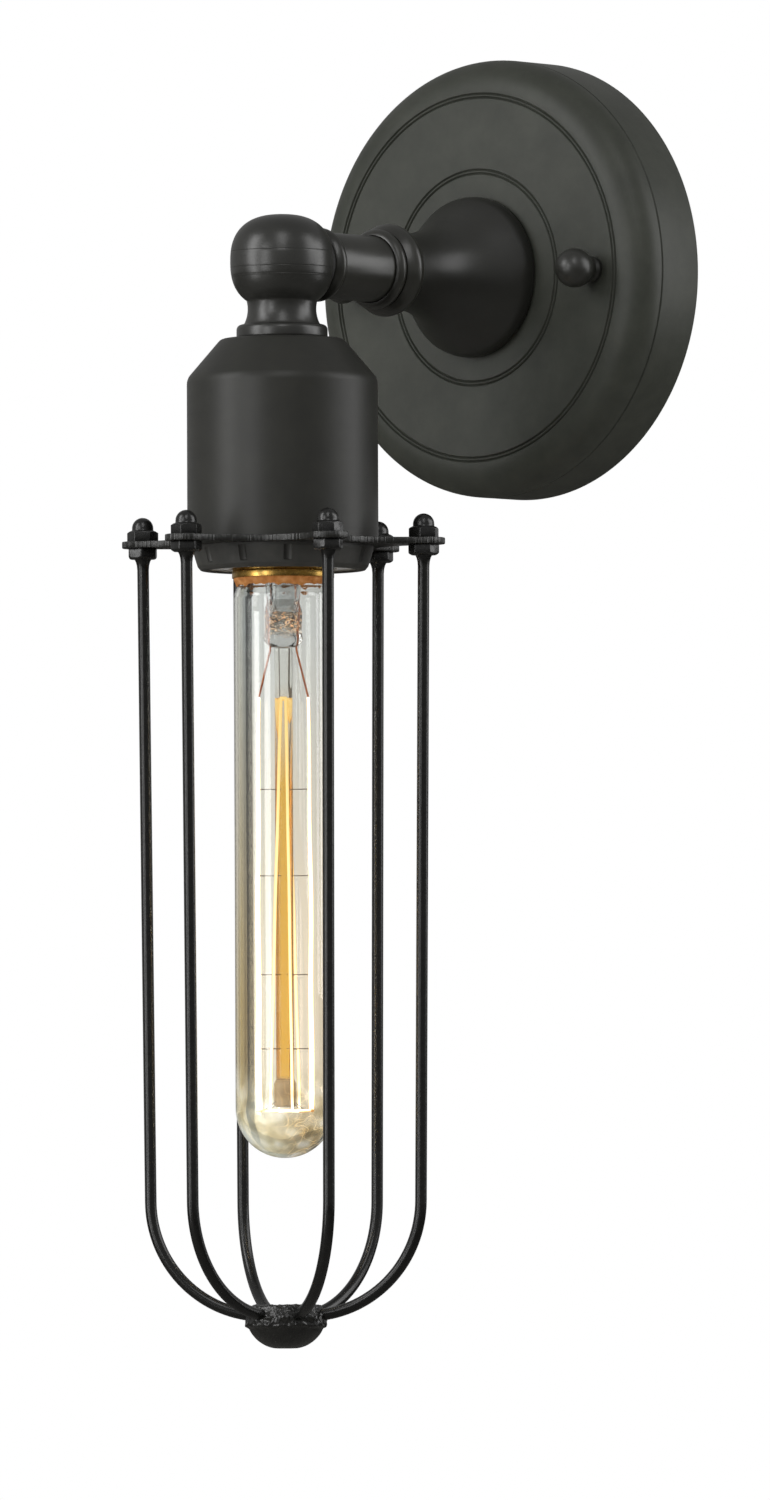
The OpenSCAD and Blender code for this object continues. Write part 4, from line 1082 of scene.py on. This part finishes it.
# %% Hex nuts
HEX_BORE_R = 1.6
hex_h = SPIDER_FOOT - nut_foot
hex_outline = [(HEX_BORE_R, 0)] + chamfered(0, 1)[::-1]
hex_outline += [(NUT_CORNER_R, hex_h), (HEX_BORE_R, hex_h), (HEX_BORE_R, 0)]
hex_nuts = [nut_on_wire("hex_nut", hex_outline, wire_angle, turn, 0.28, nut_foot)
            for wire_angle, turn in zip(WIRE_ANGLES, NUT_TURNS)]
done(joined(hex_nuts, "cage_hex_nuts_dipped"), "lantern", NUT_BLACK, "cage_hex_nuts")

# %% Cap nuts
CAP_H = 2.8
DOME_R = 2.75
dome_top = high("cage_cap_nuts", "z") - spider_top
cap_outline = [(0, 0), (NUT_CORNER_R, 0)] + chamfered(CAP_H, -1)
cap_outline += [(DOME_R + 0.15, CAP_H - 0.02), (DOME_R, CAP_H + 0.25)]
cap_outline += arc((0, dome_top - DOME_R), DOME_R, DOME_R, 0, 90, 8)
cap_outline[-1] = (0, dome_top)
cap_nuts = [nut_on_wire("cap_nut", cap_outline, wire_angle, turn, 0.25, spider_top)
            for wire_angle, turn in zip(WIRE_ANGLES, reversed(NUT_TURNS))]
done(joined(cap_nuts, "cage_cap_nuts_dipped"), "lantern", NUT_BLACK, "cage_cap_nuts")

# %% [markdown]
# ## Hub
#
# The wires end in a small cast button: a flat top, a short side and a bowl below. Metal has
# run round the wires where they were brazed in, so its upper half is rough and pitted. It is
# turned, a voxel Remesh gives it an even skin, and it is displaced more above than below.

# %% Hub
hub_r = radius("cage_hub")
hub_top = high("cage_hub", "z")
hub_foot = low("cage_hub", "z")
hub_rim = hub_foot + 0.45 * (hub_top - hub_foot)
side_r = hub_r - 0.1
hub_outline = [(0, hub_foot + 0.1)]
hub_outline += bezier([(2.2, hub_foot + 0.1), (5.6, hub_foot + 0.2), (8.4, hub_foot + 2.6),
                       (0.9 * hub_r, hub_rim)], 14)
hub_outline += rounded([(side_r, hub_rim + 0.5), (side_r, hub_rim + 0.6), (side_r, hub_top - 3.4, 1.0),
                        (hub_r - 1.5, hub_top - 0.35, 0.9), (0, hub_top - 0.35)], 4)
hub = turned("cage_hub_cast", hub_outline, Matrix(), 96)
modify(hub, "REMESH", mode="VOXEL", voxel_size=0.28 * MM)
print("the hub's even skin: %d faces" % len(hub.data.polygons))

# %% Casting pits on the hub
SMOOTH_SHARE = 0.06
FADE_H = 1.6
rough_top = hub.vertex_groups.new(name="rough_top")
for vertex in hub.data.vertices:
    share = (vertex.co.z / MM - hub_rim + FADE_H / 2) / FADE_H
    rough_top.add([vertex.index], min(max(share, SMOOTH_SHARE), 1), "REPLACE")
pits = bpy.data.textures.new("casting_pits", "CLOUDS")
pits.noise_scale = 1.5 * MM
pits.noise_depth = 2
modify(hub, "DISPLACE", texture=pits, strength=1.0 * MM, mid_level=0.62, vertex_group="rough_top",
       texture_coords="LOCAL")
carry(hub, HEAD)
done(hub, "lantern", CAST_BLACK, "cage_hub", angle=80)

# %% [markdown]
# ## Bulb base
#
# The base is drawn brass with a rolled thread of 3.6 mm pitch, a plain rim below and a cone
# above that holds the black glass insulator. One turn of the wavy thread is drawn, the Screw
# modifier winds it up, and planes cut it level. The tip is a flattened drop of solder.

# %% Rolled threads
PITCH = 3.63
WAVE_STEPS = 12


def wound(name, wave, pitch, start, end, fill=False, count=64):
    """Winds one turn of a thread's line up along Z and cuts it level at two stations in mm."""
    piece = draw_line(name, [(r, 0, h) for r, h in wave])
    bpy.ops.object.mode_set(mode="OBJECT")
    modify(piece, "SCREW", angle=math.tau, screw_offset=pitch * MM, steps=count, render_steps=count,
           iterations=math.ceil((end - start) / pitch) + 2, use_merge_vertices=True,
           merge_threshold=0.002 * MM)
    open_up(piece)
    close_up()
    carry(piece, shift(0, 0, start - pitch))
    slice_off(piece, (0, 0, end), (0, 0, 1), fill)
    slice_off(piece, (0, 0, start), (0, 0, -1), fill)
    return piece


def rolled(name, middle_r, swing, start, end, sheet_mm):
    """A thread that is rolled into thin sheet."""
    wave = [(middle_r + swing * math.cos(math.tau * i / WAVE_STEPS), PITCH * i / WAVE_STEPS)
            for i in range(WAVE_STEPS + 1)]
    piece = wound(name, wave, PITCH, start, end)
    modify(piece, "SOLIDIFY", thickness=sheet_mm * MM, offset=0)
    return piece


# %% Screw base
base_r = radius("bulb_shell")
THREAD_DEEP = 0.45
thread_foot = BASE_RIM + 3.6
thread_top = BASE_TOP - 4.2
thread = rolled("bulb_thread", base_r - THREAD_DEEP, THREAD_DEEP, thread_foot, thread_top, 0.3)
rim_outline = rounded([(base_r - 0.35, BASE_RIM), (base_r, BASE_RIM, 0.12), (base_r, BASE_RIM + 1.6, 0.5),
                       (base_r - 0.25, BASE_RIM + 2.0, 0.5), (base_r - 0.25, thread_foot + 0.15),
                       (base_r - 0.95, thread_foot + 0.15), (base_r - 0.6, BASE_RIM + 2.0),
                       (base_r - 0.35, BASE_RIM)], 3)
rim_piece = turned("bulb_rim", rim_outline, Matrix())
cone_outline = [(base_r - 0.3, thread_top - 0.1), (base_r - 0.35, thread_top + 0.4),
                (base_r - 3.5, BASE_TOP - 0.1), (base_r - 3.85, BASE_TOP - 0.1),
                (base_r - 1.0, thread_top - 0.1), (base_r - 0.3, thread_top - 0.1)]
cone_piece = turned("bulb_cone", cone_outline, Matrix())
base = joined([thread, rim_piece, cone_piece], "bulb_base_rolled")
carry(base, HEAD)
done(base, "bulb", BRASS, "bulb_shell", angle=50)

# %% Insulator and tip
insulator_top = high("bulb_insulator", "z")
insulator_low = low("bulb_insulator", "z")
insulator_r = radius("bulb_insulator")
insulator_outline = rounded([
    (0, insulator_low), (insulator_r, insulator_low), (insulator_r, insulator_top - 1.3),
    (5.6, insulator_top, 0.8), (0, insulator_top)], 5)
insulator = turned("bulb_insulator_glass", insulator_outline)
done(insulator, "bulb", BLACK_GLASS, "bulb_insulator")
tip_top = high("bulb_tip_contact", "z")
tip_outline = rounded([(0, insulator_top), (4.8, insulator_top), (4.5, insulator_top + 0.35, 0.2),
                       (3.2, tip_top - 0.1, 0.6), (0, tip_top)], 5)
tip = turned("bulb_tip_solder", tip_outline)
done(tip, "bulb", SOLDER, "bulb_tip_contact")

# %% [markdown]
# ## Basing cement
#
# Orange-brown cement fills the space between the glass neck and the brass rim. It has been
# wiped by hand, so its lower edge is ragged. The ring is turned, and the points of its lower
# edge are then pulled up or down.

# %% Cement
CEMENT_R = 12.7
CEMENT_BORE_R = 11.65
CEMENT_DROP = 1.9
RAGGED = 0.6
random.seed(4)
cement_top = high("basing_cement", "z")
cement_foot = BASE_RIM - CEMENT_DROP
cement_outline = rounded([
    (CEMENT_BORE_R, cement_foot), (CEMENT_BORE_R + 0.35, cement_foot, 0.2), (CEMENT_R, BASE_RIM - 0.3, 0.3),
    (CEMENT_R, cement_top), (CEMENT_BORE_R, cement_top), (CEMENT_BORE_R, cement_foot)], 4)
cement = turned("basing_cement_wiped", cement_outline, Matrix(), 120)
waves = [(random.uniform(0.1, 0.3), k, random.uniform(0, math.tau)) for k in (3, 5, 9, 14, 23, 37)]
for vertex in cement.data.vertices:
    if vertex.co.z / MM < BASE_RIM - 0.5:
        a = math.atan2(vertex.co.y, vertex.co.x)
        vertex.co.z += sum(size * math.sin(k * a + phase) for size, k, phase in waves) * RAGGED * MM
carry(cement, HEAD)
done(cement, "bulb", CEMENT, "basing_cement")

# %% [markdown]
# ## Glass tube
#
# The tube is blown with a round end and a narrower neck inside the base. Its outline runs
# down the outside and back up the inside, so the wall is real and bends light at both faces.

# %% Glass tube
glass_r = radius("bulb_glass")
glass_foot = low("bulb_glass", "z")
glass_top = high("bulb_glass", "z")
GLASS_WALL = 0.8
NECK_IN = 1.1


def tube_side(r, foot, neck, shoulder):
    points = rounded([(neck, glass_top), (neck, BASE_RIM - shoulder, 1.5),
                      (r, BASE_RIM - shoulder - 2.4, 2.5), (r, BASE_RIM - 12)], 8)
    points += arc((0, foot + r), r, -r, 0, 90, 24)
    points[-1] = (0, foot)
    return points


outer = tube_side(glass_r, glass_foot, glass_r - NECK_IN, 1.9)
inner = tube_side(glass_r - GLASS_WALL, glass_foot + GLASS_WALL, glass_r - NECK_IN - GLASS_WALL, 2.2)
glass_outline = outer + list(reversed(inner)) + [outer[0]]
glass = turned("bulb_glass_blown", glass_outline, HEAD, 160)
done(glass, "bulb", TINTED_GLASS_PAINTED_LIGHT, "bulb_glass", angle=50)

# %% [markdown]
# ## Stem and rod
#
# Inside the neck a flared glass tube runs down to the press, where the hot glass was pinched
# flat round the lead wires. A straight rod goes on from there and ends in a button.

# %% Stem
stem_low = low("glass_stem", "z")
FLARE_R = 10.7
PINCH = 0.42
PINCH_FADE = 3
pinch_top = BASE_RIM - 7.5
PRESS_TURN = turn_by(41)
stem_outline = rounded([
    (FLARE_R, glass_top), (FLARE_R, glass_top - 0.8), (5.2, glass_top - 7, 4), (4.2, BASE_RIM - 6, 3),
    (4.9, BASE_RIM - 8.5, 2), (4.7, BASE_RIM - 13, 2), (5.1, BASE_RIM - 16, 1.5), (3.6, stem_low + 0.4, 1.2),
    (0, stem_low)], 6)
stem_inside = rounded([(0, BASE_RIM - 10), (2.6, BASE_RIM - 9.0, 1), (3.3, BASE_RIM - 5.5, 3),
                       (4.4, glass_top - 6.6, 4), (10.1, glass_top), (FLARE_R, glass_top)], 6)
stem = turned("stem_flared", stem_outline + stem_inside, Matrix(), 72)
for vertex in stem.data.vertices:
    pinch = min(max((pinch_top - vertex.co.z / MM) / PINCH_FADE, 0), 1)
    vertex.co.y *= 1 - PINCH * pinch
carry(stem, HEAD @ PRESS_TURN)
done(stem, "bulb", STEM_GLASS, "glass_stem", angle=60)

# %% Rod
ROD_R = 2.3
ROD_BUTTON_R = 2.9
rod_top = high("glass_rod", "z")
rod_foot = low("glass_rod", "z")
rod_outline = rounded([
    (0, rod_top), (ROD_R, rod_top), (ROD_R, rod_foot + 7.2, 0.4), (ROD_BUTTON_R, rod_foot + 6, 0.8),
    (ROD_BUTTON_R, rod_foot, 0.9), (0, rod_foot)], 6)
rod = turned("rod_drawn", rod_outline, HEAD, 48)
done(rod, "bulb", ROD_GLASS, "glass_rod", angle=60)

# %% [markdown]
# ## Filament and its wires
#
# Eight long strands go down the bulb in four pairs. At the top two neighbours hang from each
# lead wire and from each hook, and a ring of short bars joins them all at the foot. Fine
# spokes from the rod hold them apart. A hot strand sags, so each bows outwards a little
# and sways between the spokes.

# %% Where the strands run
STRANDS = 8
STRAND_AT = 7.3
LEAD_AT = STRAND_AT - 1
HOOK_AT = 3.5
GAP = 1.2
FOOT_TURN = -7.5
strand_top = BASE_RIM - 30.5
strand_foot = BASE_RIM - 136.4


def on_lead(k):
    """The strands of even quarter turns hang from the lead wires, the others from hooks."""
    return ((k + 1) // 2) % 2 == 0


def strand_start(k):
    """Two neighbours hang from one place, each a little to its own side."""
    hanger_angle = 90 * (((k + 1) // 2) % 4)
    side = GAP / 2 if k % 2 == 0 else -GAP / 2
    hanger = ray(hanger_angle, LEAD_AT if on_lead(k) else HOOK_AT)
    return (hanger + side * ray(hanger_angle + 90, 1)).to_3d() + Vector((0, 0, strand_top - 0.4))


def strand_end(k):
    return ray(FOOT_TURN + 360 / STRANDS * (k + 0.5), STRAND_AT).to_3d() + Vector((0, 0, strand_foot))


def outwards(point):
    return Vector((point.x, point.y, 0)).normalized()


# %% Strands
STRAND_R = 0.42
TOP_BAR_R = 0.4
FOOT_BAR_R = 0.38
BOW = 0.25
SWAY = 0.12
STRAND_STEPS = 24


def rod_through(name, points, r_mm, sides=10):
    """A thin round rod through points in mm: a line becomes a curve with a round bevel."""
    line = draw_line(name, [tuple(point) for point in points])
    bpy.ops.object.mode_set(mode="OBJECT")
    bpy.ops.object.convert(target="CURVE")
    curve = bpy.context.object.data
    curve.bevel_depth = r_mm * MM
    curve.bevel_resolution = max(sides // 2 - 2, 1)
    curve.use_fill_caps = True
    pick(line)
    bpy.ops.object.convert(target="MESH")
    return bpy.context.object


def bowed(first, last):
    out = outwards(first + last)
    points = []
    for i in range(STRAND_STEPS + 1):
        t = i / STRAND_STEPS
        sway = BOW * math.sin(math.pi * t) + SWAY * math.sin(math.pi * 5 * t)
        points.append(first.lerp(last, t) + out * sway)
    return points


bars = []
for k in range(0, STRANDS, 2):
    pair = bowed(strand_start(k), strand_end(k)) + bowed(strand_end(k + 1), strand_start(k + 1))
    bars.append(rod_through("strand", pair, STRAND_R))
for k in range(1, STRANDS, 2):
    beside = (k + 1) % STRANDS
    past = (strand_start(beside) - strand_start(k)).normalized() * 0.3
    bars.append(rod_through("strand_hook", [strand_start(k) - past, strand_start(beside) + past], TOP_BAR_R))
    bars.append(rod_through("strand_foot", [strand_end(k), strand_end(beside)], FOOT_BAR_R))
print("lengths of the filament:", len(bars))
filament = joined(bars, "filament_wound")

# %% Heat of the strands


def heat_of(point):
    """1 where the strand is white hot, less on the strands that hang from hooks."""
    t = (strand_top - point.z / MM) / (strand_top - strand_foot)
    flat = Vector((point.x, point.y)) / MM
    nearest = min(range(STRANDS), key=lambda k: (strand_start(k).lerp(strand_end(k), t).xy - flat).length)
    return 1.0 if on_lead(nearest) or t > 0.985 else HOOK_HEAT + 0.4 * t


warmth = filament.data.attributes.new("strand_glow", "FLOAT", "POINT")
warmth.data.foreach_set("value", [heat_of(vertex.co) for vertex in filament.data.vertices])
carry(filament, HEAD @ PRESS_TURN)
done(filament, "bulb", GLOW, "filament", angle=80)

# %% Lead wires
LEAD_R = 0.27
PRESS_AT = 3.3
bars = []
for side in (-1, 1):
    points = [(side * LEAD_AT, 0, strand_top + 0.05), (side * (PRESS_AT + 0.1), 0, stem_low - 0.6),
              (side * PRESS_AT, 0, stem_low + 0.4), (side * PRESS_AT, 0, BASE_TOP - 1.5)]
    bars.append(rod_through("lead", points, LEAD_R, 8))
leads = joined(bars, "lead_wires_bent")
carry(leads, HEAD @ PRESS_TURN)
done(leads, "bulb", COPPER, "lead_wires", angle=60)

# %% Supports
HOOK_R = 0.14
SPOKE_R = 0.1
LEVELS = (0.22, 0.43, 0.67, 0.85)
bars = []
for side in (-1, 1):
    points = [(side * 0.9, side * HOOK_AT, strand_top), (side * 1.1, side * 2.9, stem_low + 0.2)]
    bars.append(rod_through("hook", points, HOOK_R, 6))
for level in LEVELS:
    for k in range(STRANDS):
        at = strand_start(k).lerp(strand_end(k), level)
        points = [Vector((0, 0, at.z)) + outwards(at) * 2.2, at + outwards(at) * 0.2]
        bars.append(rod_through("spoke", points, SPOKE_R, 6))
for k in range(0, STRANDS, 2):
    at = (strand_end(k) + strand_end(k + 1)) / 2
    bars.append(rod_through("foot_spoke", [Vector((0, 0, at.z + 2.4)) + outwards(at) * 2.8, at], SPOKE_R, 6))
supports = joined(bars, "filament_supports_bent")
carry(supports, HEAD @ PRESS_TURN)
done(supports, "bulb", SUPPORT, "filament_supports", angle=60)

# %% [markdown]
# ## Fixings behind the plate
#
# The studs and the arm's nipple are cut from threaded rod, so each shows a wound thread
# with its ends cut square. The nuts are hexagons with both corners turned off, and the
# earthing screw has a slotted cheese head. The studs' front ends stay inside the ball nuts.

# %% Threaded rods
OFF_WALL = 0.3
NIPPLE_BORE_R = 3.6


def threaded(name, r, start, end, pitch, deep, bore=0):
    """A threaded rod, or a tube with a bore, along Z between two stations in mm."""
    crest = r - 0.1 * deep
    root = r - deep
    ridge = [(root, 0), (crest, pitch * 0.4), (crest, pitch * 0.55), (root, pitch * 0.95), (root, pitch)]
    piece = wound(name, ridge, pitch, start, end, bore == 0, 32)
    if bore:
        skin = r - deep * 0.8
        wall = turned("wall", [(bore, start), (skin, start), (skin, end), (bore, end), (bore, start)],
                      Matrix(), 48)
        piece = joined([piece, wall], name)
    return piece


stud_back = OFF_WALL + back("mounting_studs")
stud_front = front("mounting_studs")
studs = [carry(threaded("stud", STUD_R, stud_back, stud_front, 0.8, 0.35), place) for place in STUD_PLACES]
done(joined(studs, "studs_threaded"), "bracket", ZINC, "mounting_studs", angle=50)
nipple_r = radius("arm_nipple")
nipple = threaded("nipple_threaded", nipple_r, back("arm_nipple"), front("arm_nipple"), 0.94, 0.4,
                  NIPPLE_BORE_R)
carry(nipple, LAID)
done(nipple, "bracket", ZINC, "arm_nipple", angle=50)

# %% Lock nuts


def lock_nut(name, node, across_mm, bore, turn):
    """A hexagon nut between the near and far face of a node's box, still on the origin."""
    near, far = back(node), front(node)
    wide = across_mm / 2 / math.cos(math.radians(30))
    outline = [(bore, near), (wide - 0.6, near), (wide, near + 0.35), (wide, far - 0.35),
               (wide - 0.6, far), (bore, far), (bore, near)]
    nut = cut_hexagon(turned(name, outline, Matrix(), 60), across_mm, turn)
    soften(nut, 0.12)
    return nut


lock_nuts = [carry(lock_nut("stud_lock_nut", "stud_lock_nuts", 8.7, STUD_R - 0.1, turn), place)
             for turn, place in zip((12, 41), STUD_PLACES)]
done(joined(lock_nuts, "stud_lock_nuts_cut"), "bracket", ZINC, "stud_lock_nuts", angle=30)
nut = lock_nut("nipple_lock_nut_cut", "nipple_lock_nut", 2 * high("nipple_lock_nut", "z"), nipple_r - 0.2, 90)
carry(nut, LAID)
done(nut, "bracket", ZINC, "nipple_lock_nut", angle=30)

# %% Earthing screw
SHANK_R = 1.9
HEAD_FROM = 1.6
SLOT_WIDE = 0.9
SLOT_DEEP = 1.1
head_r = radius("earthing_screw")
head_front = front("earthing_screw")
screw_outline = rounded([
    (0, 0), (SHANK_R, 0), (SHANK_R, HEAD_FROM), (head_r, HEAD_FROM), (head_r, head_front - 0.7, 0.5),
    (2.2, head_front, 0.8), (0, head_front)], 5)
screw = turned("earthing_screw_slotted", screw_outline, Matrix(), 48)
clear_selection()
bpy.ops.mesh.primitive_cube_add(size=MM, location=(0, 0, head_front * MM),
                                scale=(2 * head_r + 2, SLOT_WIDE, 2 * SLOT_DEEP))
carve(screw, bpy.context.object)
soften(screw, 0.08)
carry(screw, shift(0, 0, low("earthing_screw", "z") + head_r) @ LAID @ turn_by(25))
done(screw, "bracket", BRASS, "earthing_screw", angle=35)

# %% [markdown]
# ## Screw shell
#
# The brass shell in the lampholder is rolled with the same pitch as the bulb's base, and it
# shows when the bulb is taken out.

# %% Screw shell
shell = rolled("screw_shell_rolled", radius("screw_shell") - 0.3, 0.13, low("screw_shell", "z"),
               high("screw_shell", "z"), 0.2)
carry(shell, HEAD)
done(shell, "lantern", BRASS, "screw_shell", angle=50)

# %% [markdown]
# ## Pieces kept from the frame
#
# The strap and most of what lies inside the arm and the cup already have the right shape, so
# they stay. Their triangles are welded, and a live Bevel rounds their edges a little.

# %% Finishes for the nodes that stay
KEPT = {
    "mounting_strap": (ZINC, 0.2), "nipple_washer": (ZINC, 0.1), "swivel_nipple": (ZINC, 0.1),
    "spring_washer": (ZINC, 0.1), "round_lock_nut": (ZINC, 0.1), "cup_nipple": (ZINC, 0.1),
    "cup_lock_nut": (ZINC, 0.1), "lampholder_cap": (PORCELAIN, 0.5), "lampholder_body": (PORCELAIN, 0.4),
    "centre_contact": (BRASS, 0.08), "terminal_screws": (BRASS, 0.15),
}
for name, (material, edge_mm) in KEPT.items():
    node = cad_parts[name]
    node.data.materials.clear()
    node.data.materials.append(material)
    weld = node.modifiers.new("weld", "WELD")
    weld.merge_threshold = 0.002 * MM
    bevel = node.modifiers.new("soft_edges", "BEVEL")
    bevel.width = edge_mm * MM
    bevel.segments = 2
    bevel.limit_method = "ANGLE"
    bevel.angle_limit = math.radians(35)
print("kept from the frame:", len(KEPT))

# %% [markdown]
# ## Floor and backdrop
#
# The sconce hangs in front of plain white, as in the photograph. The world is white for the
# camera and through glass, dimmer in reflections, and nearly dark as a light, so that the
# lamps shape the piece. A wide pale floor far below keeps the shadow. It glows a little
# where it is looked at, and is greyer in reflections. From below it is not seen.

# %% Floor
FLOOR_Z = -0.55
FLOOR_GLOW = 0.5
clear_selection()
bpy.ops.mesh.primitive_plane_add(size=12, location=(0, 0, FLOOR_Z))
floor = bpy.context.object
floor.name = "floor"
PAPER = new_material("pale_paper_floor")
fibres = add(PAPER, "ValToRGB", {"Fac": spots(PAPER, 2.5, detail=2)}, stops=[
    (0.3, "#ecebe8"), (0.7, "#f2f1ee")])
reflected = add(PAPER, "LightPath", {}, "Is Glossy Ray")
shade = add(PAPER, "Mix", {0: reflected, 6: fibres, 7: linear("#9e9c98")}, 2, data_type="RGBA")


def looked_at(material):
    """1 for rays from the camera, straight or through glass."""
    return add(material, "Math", {
        0: add(material, "LightPath", {}, "Is Camera Ray"),
        1: add(material, "LightPath", {}, "Is Transmission Ray")}, operation="MAXIMUM")


sheet = add(PAPER, "AddShader", {
    0: add(PAPER, "BsdfPrincipled", {"Base Color": shade, "Roughness": 0.9}),
    1: add(PAPER, "Emission", {"Color": linear("#f4f3f1"), "Strength": add(PAPER, "MapRange", {
        "Value": looked_at(PAPER), "To Max": FLOOR_GLOW})})})
from_above = add(PAPER, "MixShader", {
    0: add(PAPER, "NewGeometry", {}, "Backfacing"), 1: sheet, 2: add(PAPER, "BsdfTransparent", {})})
add(PAPER, "OutputMaterial", {"Surface": from_above})
floor.data.materials.append(PAPER)

# %% World
AMBIENT = 0.05
GLOSSY = 0.32
world = bpy.data.worlds.new("white_studio")
world.use_nodes = True
world.node_tree.nodes.clear()
mirrored = add(world, "LightPath", {}, "Is Glossy Ray")
shine = add(world, "MapRange", {"Value": mirrored, "To Min": AMBIENT, "To Max": GLOSSY})
level = add(world, "Mix", {0: looked_at(world), 2: shine, 3: 1.0})
backdrop = add(world, "Background", {"Color": linear("#ffffff"), "Strength": level})
add(world, "OutputWorld", {"Surface": backdrop})
bpy.context.scene.world = world
print("ambient %.2f, in reflections %.2f" % (AMBIENT, GLOSSY))

# %% [markdown]
# ## Lamps
#
# Seven lamps shape the black finishes. Four tall softboxes stand at the left, in front and
# above. Three narrow strips stand nearer: one at the left draws the bright line down the cup
# and the ball, and two at the right light the side of the plate. Each is set by how many
# degrees it stands to the camera's right and above the horizon, as seen from the sconce.

# %% Lamps
SOFTBOX = {"distance": 1.6, "wide": 0.4, "tall": 1.0}
STRIP = {"distance": 0.7, "wide": 0.25, "tall": 0.5}
LIT_POINT = Vector((0, -0.06, -0.06))


def soft_lamp(name, aside, up, watts, distance, wide, tall):
    """An area lamp that looks at the sconce."""
    a, e = math.radians(aside), math.radians(up)
    way = (TO_CAMERA * math.cos(a) + TO_RIGHT * math.sin(a)) * math.cos(e) + Vector((0, 0, math.sin(e)))
    data = bpy.data.lights.new(name, "AREA")
    data.shape = "RECTANGLE"
    data.size = wide
    data.size_y = tall
    data.energy = watts
    lamp = bpy.data.objects.new(name, data)
    lamp.location = LIT_POINT + way * distance
    lamp.rotation_euler = (LIT_POINT - lamp.location).to_track_quat("-Z", "Y").to_euler()
    bpy.context.scene.collection.objects.link(lamp)
    print("%s: %.1f W" % (name, watts))


soft_lamp("left_low_softbox", -65, -15, 6.3, **SOFTBOX)
soft_lamp("left_softbox", -70, 20, 1.8, **SOFTBOX)
soft_lamp("front_softbox", -38, 7, 5.0, **SOFTBOX)
soft_lamp("top_softbox", 0, 40, 3.9, **SOFTBOX)
soft_lamp("near_left_strip", -68, 24, 1.4, **STRIP)
soft_lamp("near_right_strip", 92, 10, 1.2, **STRIP)
soft_lamp("high_right_strip", 70, 24, 1.1, **STRIP)
